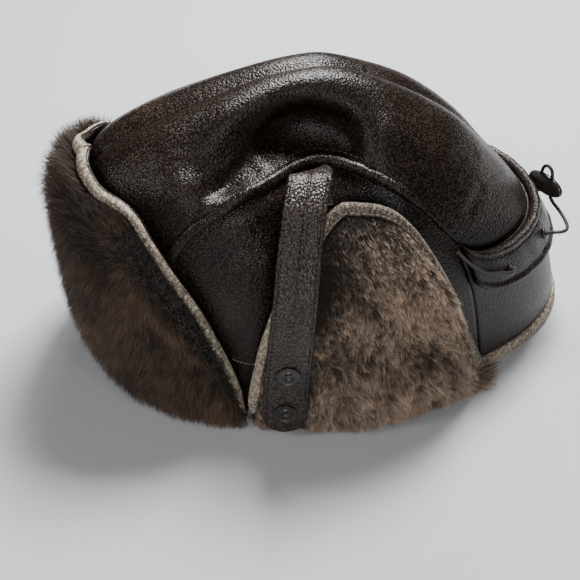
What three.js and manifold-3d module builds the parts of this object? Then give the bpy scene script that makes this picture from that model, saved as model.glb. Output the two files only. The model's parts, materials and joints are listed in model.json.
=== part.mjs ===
// A shearling leather flying cap that stands on a table with its front flap and ear flaps turned up.
// Millimetres. The front of the cap looks along -Y, the wearer's left side is +X, and +Z is up.

import * as THREE from 'three';
import { mergeVertices } from 'three/addons/utils/BufferGeometryUtils.js';
import Module from 'manifold-3d';

const wasm = await Module();
wasm.setup();

// Head form
const crownHeight = 172;
const rimHalfWidth = 90;
const frontReach = 125;
const backReach = 152;
const planSquareness = 2.15;

// Skins and how they lie on each other
const leather = 2;
const fitGap = 0.35;
const hemGap = 0.9;
const layerGap = 0.9;
const liningGap = 2.8;
const liningDent = 1.3;
const seamSlit = 0.5;
const liningFur = 7;

// Crown seam: two padded lobes with a groove between them
const grooveDepth = 2;
const grooveHalfWidth = 4.5;
const lobeRise = 2;
const lobeSpacing = 15;
const lobeHalfWidth = 10;
const lobeStart = 70;
const lobeFade = 60;

// Hem welt between crown and side panels
const weltWidth = 6.5;
const weltHeight = 3;

// Back band, a channel for the drawcord
const bandLeather = 1.6;
const cordDiameter = 2.2;
const channelGap = 0.5;
const eyeletOuter = 3.4;
const eyeletWall = 1;
const eyeletRim = 1;
const eyeletInner = eyeletOuter - eyeletWall * 1.8;
const holeClearance = 0.4;

// Turned-up flaps
const earStandOff = 14;
const earRoot = 3;
const frontStandOff = 7;
const frontRoot = 3;
const earFur = 8;
const frontFur = 16;
const edgeWidth = 5;
const edgeThickness = 2.6;
const neckEdgeHeight = 8;
const neckEdgeThickness = 6;

// Chin strap and its press fasteners
const strapWidth = 25;
const strapThickness = 3;
const tabWidth = 22;
const socketRadius = 6.2;
const socketHeight = 1.6;
const socketHole = 2.1;
const studRadius = 3.5;
const studHeight = 3;

// Toggle on the drawcord
const toggleLength = 27;
const toggleWidth = 13;
const toggleThickness = 7.5;

// Level slices of the head form, from the rim to the top, as shares of the sizes above
const headForm = [
  { level: 0.000, side: 1.000, front: 0.900, back: 1.055 },
  { level: 0.150, side: 0.990, front: 0.945, back: 1.020 },
  { level: 0.300, side: 0.970, front: 0.975, back: 0.960 },
  { level: 0.420, side: 0.945, front: 0.990, back: 0.885 },
  { level: 0.520, side: 0.905, front: 1.000, back: 0.795 },
  { level: 0.610, side: 0.850, front: 1.000, back: 0.705 },
  { level: 0.700, side: 0.770, front: 0.995, back: 0.615 },
  { level: 0.780, side: 0.665, front: 0.965, back: 0.520 },
  { level: 0.850, side: 0.540, front: 0.825, back: 0.415 },
  { level: 0.905, side: 0.415, front: 0.610, back: 0.310 },
  { level: 0.950, side: 0.295, front: 0.405, back: 0.200 },
  { level: 0.980, side: 0.185, front: 0.240, back: 0.115 },
  { level: 0.995, side: 0.090, front: 0.110, back: 0.052 },
  { level: 1.000, side: 0.000, front: 0.000, back: 0.000 },
];

// Where the soft crown has sunk in: centres and reaches as shares of frontReach and crownHeight,
// and the push as a share of rimHalfWidth; side is +1 for the wearer's left
const dents = [
  { side: 1, along: -0.080, level: 0.830, push: 0.267, alongReach: 0.225, levelReach: 0.140 },
  { side: 1, along: -0.064, level: 0.610, push: 0.156, alongReach: 0.208, levelReach: 0.232 },
  { side: -1, along: 0.060, level: 0.800, push: 0.120, alongReach: 0.280, levelReach: 0.160 },
];

// Lower edge of the crown, from the front round to the back; angle 0 is the wearer's side
const hemLine = [
  { angle: -90, level: 0.450 },
  { angle: -62, level: 0.450 },
  { angle: -52, level: 0.490 },
  { angle: -46, level: 0.590 },
  { angle: -39, level: 0.678 },
  { angle: -30, level: 0.736 },
  { angle: -21, level: 0.775 },
  { angle: -6, level: 0.770 },
  { angle: 5, level: 0.772 },
  { angle: 12, level: 0.760 },
  { angle: 18, level: 0.732 },
  { angle: 23, level: 0.685 },
  { angle: 27, level: 0.600 },
  { angle: 31, level: 0.515 },
  { angle: 38, level: 0.470 },
  { angle: 50, level: 0.450 },
  { angle: 70, level: 0.441 },
  { angle: 90, level: 0.440 },
];

// Free edge of the turned-up front flap
const frontFlapLine = [
  { angle: -90, level: 0.800 },
  { angle: -80, level: 0.772 },
  { angle: -70, level: 0.752 },
  { angle: -60, level: 0.741 },
  { angle: -54, level: 0.712 },
  { angle: -49, level: 0.648 },
  { angle: -44, level: 0.571 },
  { angle: -38, level: 0.468 },
  { angle: -34, level: 0.351 },
  { angle: -31, level: 0.236 },
  { angle: -29, level: 0.110 },
];

// Free edge of a turned-up ear flap, from its front end to the corner with the neck flap
const earFlapLine = [
  { angle: -28.0, level: 0.050 },
  { angle: -26.2, level: 0.088 },
  { angle: -23.0, level: 0.228 },
  { angle: -20.5, level: 0.345 },
  { angle: -18.5, level: 0.418 },
  { angle: -16.0, level: 0.505 },
  { angle: -12.0, level: 0.615 },
  { angle: -8.0, level: 0.695 },
  { angle: -3.0, level: 0.738 },
  { angle: 1.0, level: 0.735 },
  { angle: 7.0, level: 0.720 },
  { angle: 12.0, level: 0.688 },
  { angle: 16.0, level: 0.628 },
  { angle: 19.0, level: 0.536 },
  { angle: 21.2, level: 0.425 },
  { angle: 23.2, level: 0.290 },
  { angle: 25.8, level: 0.168 },
  { angle: 29.0, level: 0.060 },
];

// Run of the strap: sewn to the side panel, over the welt and the top of the turned-up ear flap, and
// down its fur; out is the centre line's height above the form as a share of earStandOff, and dented is
// how far that form is the sunken one
const strapRun = [
  { angle: -6.4, level: 0.672, out: 0.330, dented: 1.0, wide: 1.00 },
  { angle: -6.5, level: 0.700, out: 0.330, dented: 1.0, wide: 1.00 },
  { angle: -6.7, level: 0.728, out: 0.350, dented: 1.0, wide: 1.00 },
  { angle: -7.0, level: 0.752, out: 0.420, dented: 0.8, wide: 1.00 },
  { angle: -7.3, level: 0.776, out: 0.480, dented: 0.5, wide: 1.00 },
  { angle: -7.7, level: 0.796, out: 0.620, dented: 0.2, wide: 1.00 },
  { angle: -8.1, level: 0.802, out: 0.860, dented: 0.0, wide: 1.00 },
  { angle: -8.7, level: 0.792, out: 1.110, dented: 0.0, wide: 1.00 },
  { angle: -9.7, level: 0.762, out: 1.370, dented: 0.0, wide: 1.00 },
  { angle: -11.2, level: 0.716, out: 1.610, dented: 0.0, wide: 1.00 },
  { angle: -12.8, level: 0.640, out: 1.740, dented: 0.0, wide: 1.00 },
  { angle: -14.0, level: 0.545, out: 1.760, dented: 0.0, wide: 1.00 },
  { angle: -15.2, level: 0.440, out: 1.720, dented: 0.0, wide: 1.00 },
  { angle: -16.2, level: 0.335, out: 1.640, dented: 0.0, wide: 1.00 },
  { angle: -17.1, level: 0.230, out: 1.540, dented: 0.0, wide: 1.00 },
  { angle: -17.8, level: 0.140, out: 1.450, dented: 0.0, wide: 1.00 },
  { angle: -18.1, level: 0.100, out: 1.410, dented: 0.0, wide: 0.95 },
  { angle: -18.3, level: 0.072, out: 1.380, dented: 0.0, wide: 0.80 },
  { angle: -18.4, level: 0.055, out: 1.370, dented: 0.0, wide: 0.62 },
  { angle: -18.5, level: 0.042, out: 1.360, dented: 0.0, wide: 0.36 },
];
// Rows of strapRun at the two press sockets
const socketRows = [13.4, 15.1];

// Run of the short tab on the other side, which hangs from its seam behind the turned-up ear flap, and
// the row of its stud; the columns are strapRun's
const tabRun = [
  { angle: -6.4, level: 0.728, out: 0.160, dented: 1.0, wide: 1.00 },
  { angle: -6.5, level: 0.700, out: 0.160, dented: 1.0, wide: 1.00 },
  { angle: -6.7, level: 0.660, out: 0.165, dented: 1.0, wide: 1.00 },
  { angle: -7.0, level: 0.615, out: 0.175, dented: 1.0, wide: 1.00 },
  { angle: -7.3, level: 0.570, out: 0.190, dented: 1.0, wide: 1.00 },
  { angle: -7.6, level: 0.530, out: 0.210, dented: 1.0, wide: 0.95 },
  { angle: -7.8, level: 0.505, out: 0.225, dented: 1.0, wide: 0.80 },
  { angle: -7.9, level: 0.488, out: 0.235, dented: 1.0, wide: 0.50 },
];
const tabStudRow = 4.4;
const panelStud = { angle: -28.6, level: 0.052 };

// Depth of the ear fur from the fold up to the free edge, as shares of earFur
const earPile = [
  { up: 0.00, depth: 0.80 },
  { up: 0.12, depth: 1.30 },
  { up: 0.26, depth: 1.25 },
  { up: 0.50, depth: 1.00 },
  { up: 0.75, depth: 0.85 },
  { up: 0.92, depth: 0.60 },
  { up: 1.00, depth: 0.40 },
];

// Height of the back band, and where its eyelets sit below its top, as shares of crownHeight
const bandFoot = 0.150;
const sideEyelet = { angle: 41.5, drop: 0.090 };
const backEyelet = { angle: 64.0, drop: 0.080 };

// Route of each held drawcord, from under the ear flap to the side eyelet and on inside the band;
// out is its height above the skin as a share of the band's thickness
const cordRun = [
  { angle: 26.5, drop: 0.082, out: 1.42 },
  { angle: 29.5, drop: 0.080, out: 1.42 },
  { angle: 33.0, drop: 0.080, out: 1.42 },
  { angle: 36.5, drop: 0.082, out: 1.52 },
  { angle: 38.7, drop: 0.086, out: 1.74 },
  { angle: 40.3, drop: 0.089, out: 1.80 },
  { angle: 41.2, drop: 0.090, out: 1.60 },
  { angle: 41.5, drop: 0.090, out: 1.20 },
  { angle: 41.7, drop: 0.090, out: 0.80 },
  { angle: 43.2, drop: 0.089, out: 0.34 },
  { angle: 46.0, drop: 0.086, out: 0.31 },
  { angle: 54.0, drop: 0.080, out: 0.335 },
  { angle: 62.2, drop: 0.080, out: 0.305 },
  { angle: 63.4, drop: 0.080, out: 0.50 },
  { angle: 64.0, drop: 0.080, out: 0.86 },
];

// Free loop of the drawcord, from the left back eyelet through the toggle to the right back eyelet
const cordLoop = [
  [42.75, 130.85, 64.35], [45.0, 133.8, 66.0], [46.9, 136.6, 67.2], [47.6, 140.0, 67.4],
  [45.8, 143.8, 66.6], [41.0, 147.0, 65.6], [34.0, 149.0, 64.8], [27.0, 150.0, 64.4],
  [20.6, 150.3, 64.2], [15.8, 149.8, 64.9], [13.3, 148.7, 67.6], [13.03, 148.05, 71.6],
  [13.03, 148.05, 77.6], [12.8, 148.0, 82.2], [11.6, 147.6, 85.8], [8.8, 146.6, 87.4],
  [6.0, 145.6, 85.8], [4.75, 145.1, 82.0], [4.57, 144.97, 77.6], [4.57, 144.97, 71.6],
  [4.1, 145.5, 67.4], [1.0, 147.3, 65.0], [-6.0, 148.0, 64.2], [-15.0, 147.4, 64.0],
  [-24.0, 145.6, 64.1], [-33.0, 142.8, 64.5], [-40.5, 140.4, 65.4], [-45.4, 138.0, 66.4],
  [-46.6, 135.6, 66.8], [-45.0, 133.8, 66.0], [-42.75, 130.85, 64.35],
];
const toggleCentre = [8.8, 146.5, 74.6];
const toggleTurn = 20;
const toggleBoreSpacing = 9;

// Stations round one side of the form, shared by every wall so that neighbours keep their gap
const stations = [
  -90, -76, -66, -56, -48, -40, -32, -24, -16, -8, 0, 8, 15, 21, 25, 29, 34, 42, 54, 66, 78, 90,
];

// Wider-spaced stations for the lining, with one where the neck flap begins
const liningStations = [-90, -66, -48, -32, -16, -8, 0, 8, 21, 25, 29, 42, 54, 66, 78, 90];
const liningLevels = [0, 0.30, 0.54, 0.70, 0.82, 0.92, 1];

const angleOf = (side, degrees) => THREE.MathUtils.degToRad(side > 0 ? degrees : 180 - degrees);

// A smooth curve through the rows of a table, as a function of its first column
function throughRows(rows, across, value) {
  const slope = (i) => {
    const a = rows[Math.max(i - 1, 0)];
    const b = rows[Math.min(i + 1, rows.length - 1)];
    return (b[value] - a[value]) / (b[across] - a[across]);
  };
  return (x) => {
    const last = rows.length - 2;
    let i = 0;
    while (i < last && x > rows[i + 1][across]) i += 1;
    const a = rows[i];
    const b = rows[i + 1];
    const span = b[across] - a[across];
    const t = THREE.MathUtils.clamp((x - a[across]) / span, 0, 1);
    const easeIn = t * t * (3 - 2 * t);
    const startPull = t * (1 - t) * (1 - t) * span;
    const endPull = t * t * (t - 1) * span;
    return a[value] * (1 - easeIn) + b[value] * easeIn + slope(i) * startPull + slope(i + 1) * endPull;
  };
}

// Head form as a function of row, 0 at the rim and 1 at the top, where the slices mirror each other
const formRows = headForm.map((slice, i) => ({ row: i / (headForm.length - 1), ...slice }));
const beforeTop = formRows[formRows.length - 2];
const mirrored = { row: 2 - beforeTop.row, level: beforeTop.level };
for (const column of ['side', 'front', 'back']) mirrored[column] = -beforeTop[column];
const formTable = [...formRows, mirrored];
const form = {};
for (const column of ['level', 'side', 'front', 'back']) {
  form[column] = throughRows(formTable, 'row', column);
}

function rowAt(level) {
  let low = 0;
  let high = 1;
  for (let i = 0; i < 40; i += 1) {
    const middle = (low + high) / 2;
    if (form.level(middle) < level) low = middle;
    else high = middle;
  }
  return (low + high) / 2;
}

const bump = (distance, reach) => Math.exp(-((distance / reach) ** 2));

// Point on the outer face of the leather; dented is how much of the dents it has, 0 for none
function skin(angle, row, dented = 1) {
  const power = 2 / planSquareness;
  const sine = Math.sin(angle);
  const cosine = Math.cos(angle);
  const reach = sine > 0 ? form.back(row) * backReach : form.front(row) * frontReach;
  let x = form.side(row) * rimHalfWidth * Math.sign(cosine) * Math.abs(cosine) ** power;
  const y = reach * Math.sign(sine) * Math.abs(sine) ** power;
  let z = form.level(row) * crownHeight;
  const padded = THREE.MathUtils.clamp((z - lobeStart) / lobeFade, 0, 1);
  z += padded * lobeRise * bump(Math.abs(x) - lobeSpacing, lobeHalfWidth);
  z -= padded * grooveDepth * bump(x, grooveHalfWidth);
  if (dented > 0) {
    const half = rimHalfWidth / 2;
    const side = x;
    for (const dent of dents) {
      const along = bump(y - dent.along * frontReach, dent.alongReach * frontReach);
      const up = bump(z - dent.level * crownHeight, dent.levelReach * crownHeight);
      const held = THREE.MathUtils.clamp((dent.side * side) / half, 0, 1);
      x -= dented * dent.side * dent.push * rimHalfWidth * along * up * held;
    }
  }
  return new THREE.Vector3(x, y, z);
}

function outward(angle, row, dented) {
  const step = 0.004;
  const low = Math.max(row - step, 0);
  const high = Math.min(row + step, 1 - step / 4);
  const alongRow = skin(angle, Math.max(high, low + step), dented).sub(skin(angle, low, dented));
  const around = skin(angle + step, Math.min(row, 1 - step), dented)
    .sub(skin(angle - step, Math.min(row, 1 - step), dented));
  const normal = around.cross(alongRow);
  return row > 1 - step / 2 ? new THREE.Vector3(0, 0, 1) : normal.normalize();
}

// Point a given distance out from the leather's outer face
function layer(angle, row, out, dented = 1) {
  return skin(angle, row, dented).addScaledVector(outward(angle, row, dented), out);
}

function signedVolume(positions, index) {
  const a = new THREE.Vector3();
  const b = new THREE.Vector3();
  const c = new THREE.Vector3();
  let volume = 0;
  for (let i = 0; i < index.length; i += 3) {
    a.fromArray(positions, index[i] * 3);
    b.fromArray(positions, index[i + 1] * 3);
    c.fromArray(positions, index[i + 2] * 3);
    volume += a.dot(b.cross(c)) / 6;
  }
  return volume;
}

// Merge equal corners, drop collapsed triangles and point every face outwards
function closedGeometry(points, triangles) {
  const loose = new THREE.BufferGeometry();
  loose.setAttribute('position', new THREE.Float32BufferAttribute(points.flatMap((p) => p.toArray()), 3));
  loose.setIndex(triangles);
  const merged = mergeVertices(loose, 1e-4);
  const all = Array.from(merged.index.array);
  const kept = [];
  for (let i = 0; i < all.length; i += 3) {
    const [a, b, c] = all.slice(i, i + 3);
    if (a !== b && b !== c && c !== a) kept.push(a, b, c);
  }
  if (signedVolume(merged.attributes.position.array, kept) < 0) kept.reverse();
  merged.setIndex(kept);
  return merged;
}

// A closed wall between two faces given by place(u, v, face), face 0 inside and 1 outside
function wall(stepsU, stepsV, place, ringed = false) {
  const points = [];
  const columns = ringed ? stepsU : stepsU + 1;
  for (let face = 0; face < 2; face += 1) {
    for (let i = 0; i < columns; i += 1) {
      for (let j = 0; j <= stepsV; j += 1) points.push(place(i / stepsU, j / stepsV, face));
    }
  }
  const at = (i, j, face) => (face * columns + (i % columns)) * (stepsV + 1) + j;
  const triangles = [];
  const quad = (a, b, c, d) => triangles.push(a, b, c, a, c, d);
  for (let i = 0; i < stepsU; i += 1) {
    for (let j = 0; j < stepsV; j += 1) {
      quad(at(i, j, 1), at(i + 1, j, 1), at(i + 1, j + 1, 1), at(i, j + 1, 1));
      quad(at(i, j, 0), at(i, j + 1, 0), at(i + 1, j + 1, 0), at(i + 1, j, 0));
    }
    quad(at(i, 0, 0), at(i + 1, 0, 0), at(i + 1, 0, 1), at(i, 0, 1));
    quad(at(i, stepsV, 1), at(i + 1, stepsV, 1), at(i + 1, stepsV, 0), at(i, stepsV, 0));
  }
  if (!ringed) {
    for (let j = 0; j < stepsV; j += 1) {
      quad(at(0, j, 1), at(0, j + 1, 1), at(0, j + 1, 0), at(0, j, 0));
      quad(at(stepsU, j, 0), at(stepsU, j + 1, 0), at(stepsU, j + 1, 1), at(stepsU, j, 1));
    }
  }
  return closedGeometry(points, triangles);
}

// A closed bar: a ring of points at each station, capped at both ends
function bar(stations, ringAt) {
  const rings = [];
  for (let i = 0; i <= stations; i += 1) rings.push(ringAt(i / stations));
  const count = rings[0].length;
  const points = rings.flat();
  const triangles = [];
  for (let i = 0; i < stations; i += 1) {
    for (let k = 0; k < count; k += 1) {
      const next = (k + 1) % count;
      const [a, b] = [i * count + k, i * count + next];
      triangles.push(a, b, b + count, a, b + count, a + count);
    }
  }
  for (const start of [0, stations * count]) {
    for (let k = 1; k < count - 1; k += 1) {
      const [a, b] = start === 0 ? [start + k + 1, start + k] : [start + k, start + k + 1];
      triangles.push(start, a, b);
    }
  }
  return closedGeometry(points, triangles);
}

// A three.js shape as corners and faces only, closed
function bare(geometry) {
  const { position } = geometry.attributes;
  const corners = [];
  for (let i = 0; i < position.count; i += 1) {
    corners.push(new THREE.Vector3().fromBufferAttribute(position, i));
  }
  const order = geometry.index ? Array.from(geometry.index.array) : corners.map((_, i) => i);
  return closedGeometry(corners, order);
}

const toSolid = (geometry) => new wasm.Manifold(new wasm.Mesh({
  numProp: 3,
  vertProperties: new Float32Array(geometry.attributes.position.array),
  triVerts: new Uint32Array(geometry.index.array),
}));

function fromSolid(solid) {
  const mesh = solid.getMesh();
  const geometry = new THREE.BufferGeometry();
  geometry.setAttribute('position', new THREE.Float32BufferAttribute(Array.from(mesh.vertProperties), 3));
  geometry.setIndex(Array.from(mesh.triVerts));
  return geometry;
}

// Materials
const finish = (color, roughness, metalness = 0) => new THREE.MeshStandardMaterial({
  color, roughness, metalness,
});
const brownLeather = finish(0x2a201c, 0.42);
const strapLeather = finish(0x211a18, 0.4);
const brownFur = finish(0x4a3527, 0.95);
const taupeFur = finish(0x6d5846, 0.95);
const rawSkin = finish(0xa89a86, 0.85);
const darkMetal = finish(0x1d1b1a, 0.38, 0.7);
const cordCover = finish(0x241c19, 0.6);
const toggleHorn = finish(0x3b3431, 0.3);

const cap = new THREE.Group();
function add(name, geometry, material) {
  geometry.computeVertexNormals();
  const mesh = new THREE.Mesh(geometry, material);
  mesh.name = name;
  cap.add(mesh);
  return mesh;
}
const sideName = (side) => (side > 0 ? 'left' : 'right');

const hemLevel = throughRows(hemLine, 'angle', 'level');
const frontFlapLevel = throughRows(frontFlapLine, 'angle', 'level');
const earFlapLevel = throughRows(earFlapLine, 'angle', 'level');
const mix = THREE.MathUtils.lerp;
const levels = (millimetres) => millimetres / crownHeight;

// The shared stations between two angles; past 90 they mirror those of the other side
const wholeTurn = [...stations, ...stations.slice(0, -1).reverse().map((angle) => 180 - angle)];
const stationsBetween = (from, to) => wholeTurn.filter((angle) => angle >= from && angle <= to);
const wallOver = (angles, stepsV, place, ringed) => wall(ringed ? angles.length : angles.length - 1, stepsV,
  (u, v, face) => place(angles[Math.round(u * (ringed ? angles.length : angles.length - 1))], v, face), ringed);

// Crown: two skins that meet at the centre seam
function crownHalf(side) {
  return wallOver(stations, 8, (degrees, v, face) => {
    const row = mix(rowAt(hemLevel(degrees) + levels(hemGap / 2)), 1, v);
    const point = layer(angleOf(side, degrees), row, (face - 1) * leather);
    point.x += (side * seamSlit) / 2;
    return point;
  });
}

// Side panel below the crown's hem, down to the fold at the rim
const panelStart = -56;
const panelEnd = 29;
const panelSlit = 0.3;
const rimLift = 1.2;
function sidePanel(side) {
  return wallOver(stationsBetween(panelStart, panelEnd), 7, (degrees, v, face) => {
    const top = hemLevel(degrees) - levels(hemGap / 2);
    return layer(angleOf(side, degrees), rowAt(mix(levels(rimLift), top, v)), (face - 1) * leather);
  });
}

// Front panel behind the turned-up front flap
function frontPanel() {
  const end = panelStart - panelSlit;
  const half = [...stationsBetween(-90, end), end];
  const across = [...half.slice(1).reverse().map((angle) => -180 - angle), ...half];
  return wallOver(across, 4, (degrees, v, face) => {
    const folded = degrees < -90 ? -180 - degrees : degrees;
    const top = hemLevel(folded) - levels(hemGap / 2);
    return layer(angleOf(1, degrees), rowAt(mix(levels(rimLift), top, v)), (face - 1) * leather);
  });
}

// Neck flap and the channel band above it
const neckStart = panelEnd + panelSlit;
const acrossBack = (start) => [start, ...stationsBetween(start, 180 - start), 180 - start];
const bandLevel = (degrees) => hemLevel(degrees > 90 ? 180 - degrees : degrees);
function neckFlap() {
  return wallOver(acrossBack(neckStart), 6, (degrees, v, face) => {
    const top = bandLevel(degrees) - levels(hemGap / 2);
    const foot = levels(neckEdgeHeight + fitGap);
    return layer(angleOf(1, degrees), rowAt(mix(foot, top, v)), (face - 1) * leather);
  });
}

// Section of the band: a cover that stands off the skin by the cord, with a bead along each edge
const bandStandOff = cordDiameter + channelGap * 2;
const bandThickness = bandStandOff + bandLeather;
const bandLift = layerGap / 3;
function bandCover() {
  const bandStart = neckStart + 0.6;
  const section = [
    { up: 0.00, inside: 0.30, outside: 0.85 },
    { up: 0.06, inside: 0.10, outside: 1.18 },
    { up: 0.15, inside: 0.10, outside: 1.12 },
    { up: 0.20, inside: 0.62, outside: 1.00 },
    { up: 0.50, inside: 0.66, outside: 1.04 },
    { up: 0.80, inside: 0.62, outside: 1.00 },
    { up: 0.85, inside: 0.10, outside: 1.14 },
    { up: 0.94, inside: 0.10, outside: 1.20 },
    { up: 1.00, inside: 0.30, outside: 0.85 },
  ];
  return wallOver(acrossBack(bandStart), section.length - 1, (degrees, v, face) => {
    const row = section[Math.round(v * (section.length - 1))];
    const top = bandLevel(degrees) - levels(fitGap);
    const level = mix(top - bandFoot, top, row.up);
    const out = bandThickness * (face ? row.outside : row.inside);
    return layer(angleOf(1, degrees), rowAt(level), out + bandLift);
  });
}

// Eyelets where the drawcord enters and leaves the band, each over a hole in the cover
function onBand(side, { angle, drop }, out) {
  const row = rowAt(hemLevel(angle) - drop);
  const here = layer(angleOf(side, angle), row, out);
  return { here, normal: outward(angleOf(side, angle), row, 1) };
}
function eyeletHole(side, eyelet) {
  const { here, normal } = onBand(side, eyelet, bandThickness);
  const radius = eyeletOuter - eyeletWall * 0.4;
  const tool = new THREE.CylinderGeometry(radius, radius, 9, 10);
  tool.applyQuaternion(new THREE.Quaternion().setFromUnitVectors(new THREE.Vector3(0, 1, 0), normal));
  tool.translate(here.x, here.y, here.z);
  return toSolid(bare(tool));
}
const eyelets = [
  { side: 1, name: 'eyelet_side_left', at: sideEyelet },
  { side: 1, name: 'eyelet_back_left', at: backEyelet },
  { side: -1, name: 'eyelet_side_right', at: sideEyelet },
  { side: -1, name: 'eyelet_back_right', at: backEyelet },
];

// Hem welt: a rounded roll of leather over the slit between the crown and a side panel
const weltSection = [
  { across: -0.50, out: 0.10 },
  { across: -0.38, out: 0.80 },
  { across: 0.00, out: 1.00 },
  { across: 0.38, out: 0.80 },
  { across: 0.50, out: 0.10 },
];
function alongForm(side, degrees, levelAt, outAt, dented) {
  const step = 0.4;
  const place = (d) => layer(angleOf(side, d), rowAt(levelAt(d)), outAt(d), dented);
  const here = place(degrees);
  const along = place(degrees + step).sub(place(degrees - step)).normalize();
  const normal = outward(angleOf(side, degrees), rowAt(levelAt(degrees)), dented);
  const across = new THREE.Vector3().crossVectors(normal, along).multiplyScalar(side).normalize();
  return { here, along, normal, across };
}
function hemWelt(side) {
  const angles = stationsBetween(-56, 25);
  return bar(angles.length - 1, (t) => {
    const degrees = angles[Math.round(t * (angles.length - 1))];
    const { here, normal, across } = alongForm(side, degrees, hemLevel, () => fitGap, 1);
    return weltSection.map((corner) => here.clone()
      .addScaledVector(across, corner.across * weltWidth)
      .addScaledVector(normal, corner.out * weltHeight));
  });
}

// Turned-up flaps stand off the undented form; the fold at the rim lies close to it
const foldLevel = 0.012;
const rise = (level, by) => 1 - (1 - Math.min(level / by, 1)) ** 2;
const earMiddle = 0.5;
const earHalfSpan = 29;
const earOut = (degrees, level) => {
  const swell = 1 - Math.abs((degrees - earMiddle) / earHalfSpan) ** 2.5;
  return earRoot + (earStandOff - earRoot) * rise(level, 0.24) * Math.max(swell, 0);
};
const frontHalfSpan = 62;
const frontOut = (degrees, level) => {
  const swell = 1 - Math.abs((degrees + 90) / frontHalfSpan) ** 4;
  const lean = 1 - 0.4 * THREE.MathUtils.smoothstep(level, 0.45, 0.8);
  return frontRoot + (frontStandOff - frontRoot) * rise(level, 0.2) * lean * Math.max(swell, 0);
};
const onFloor = (point, height = 0) => {
  point.z = Math.max(point.z, height);
  return point;
};
const frontFold = (degrees) => (degrees < -90 ? -180 - degrees : degrees);
const frontTop = (degrees) => frontFlapLevel(frontFold(degrees));

// How far a line lies from the free edge, measured in level, so that it keeps its distance in millimetres
function insideEdge(lineLevel, degrees, distance) {
  const step = 0.5;
  const climb = (lineLevel(degrees + step) - lineLevel(degrees - step)) * crownHeight;
  const run = 2 * THREE.MathUtils.degToRad(step) * rimHalfWidth;
  return lineLevel(degrees) - levels(distance * Math.hypot(1, climb / run));
}

// Levels of a flap's rows: from the fold to the inner side of the pale edge, and the free edge itself
const flapShares = [0, 0.12, 0.30, 0.52, 0.76, 1];
function flapLevels(topAt, degrees, gap = 0) {
  const inner = Math.max(insideEdge(topAt, degrees, edgeWidth + gap), foldLevel + 0.02);
  return flapShares.map((share) => mix(foldLevel, inner, share));
}
function flapSkin(side, angles, topAt, outAt) {
  return wallOver(angles, flapShares.length, (degrees, v, face) => {
    const rows = [...flapLevels(topAt, degrees), topAt(degrees)];
    const level = rows[Math.round(v * flapShares.length)];
    const out = outAt(degrees, level) + face * leather;
    return onFloor(layer(angleOf(side, degrees), rowAt(level), out, 0), rimLift + (1 - face) * leather);
  });
}
const earAngles = [-28, -25, -21.5, -17.5, -12, -6, 0, 6, 12, 16.5, 19.8, 22.4, 25.2, 28.6];
const frontHalf = [-90, -80, -70, -60, -52, -46, -40, -35, -32, -29.4];
const frontAngles = [...frontHalf.slice(1).reverse().map((angle) => -180 - angle), ...frontHalf];

// Pale cut edge of the shearling, a flat strip along a free edge
function edgeStrip(side, angles, topAt, outAt) {
  return wallOver(angles, 1, (degrees, v, face) => {
    const inner = flapLevels(topAt, degrees)[flapShares.length - 1];
    const level = mix(inner, topAt(degrees), v);
    const out = outAt(degrees, level) + leather + fitGap + face * edgeThickness;
    return onFloor(layer(angleOf(side, degrees), rowAt(level), out, 0), rimLift);
  });
}

// A belt along a run of rows over the form; grow thickens it all round
function belt(side, run, width, thickness, grow = 0) {
  const centres = beltCentres(side, run);
  const section = [
    [-0.5, -0.2], [-0.46, -0.5], [0.46, -0.5], [0.5, -0.2], [0.5, 0.2], [0.46, 0.5], [-0.46, 0.5], [-0.5, 0.2],
  ];
  return bar(run.length - 1, (t) => {
    const i = Math.round(t * (run.length - 1));
    const { along, across, normal } = beltFrame(side, run, centres, i);
    const end = i === 0 ? -grow : Number(i === run.length - 1) * grow;
    return section.map(([sideways, up]) => centres[i].clone()
      .addScaledVector(along, end)
      .addScaledVector(across, sideways * (width * run[i].wide + 2 * grow))
      .addScaledVector(normal, up * (thickness + 2 * grow)));
  });
}
const beltCentres = (side, run) => run.map(({ angle, level, out, dented }) => layer(
  angleOf(side, angle), rowAt(level), out * earStandOff, dented,
));
function beltFrame(side, run, centres, i) {
  const along = centres[Math.min(i + 1, run.length - 1)].clone()
    .sub(centres[Math.max(i - 1, 0)]).normalize();
  const { angle, level, dented } = run[i];
  const around = layer(angleOf(side, angle + 5), rowAt(level), 0, dented)
    .sub(layer(angleOf(side, angle - 5), rowAt(level), 0, dented));
  const across = around.addScaledVector(along, -around.dot(along)).normalize();
  const normal = new THREE.Vector3().crossVectors(along, across).multiplyScalar(side);
  return { along, across, normal };
}

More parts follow.
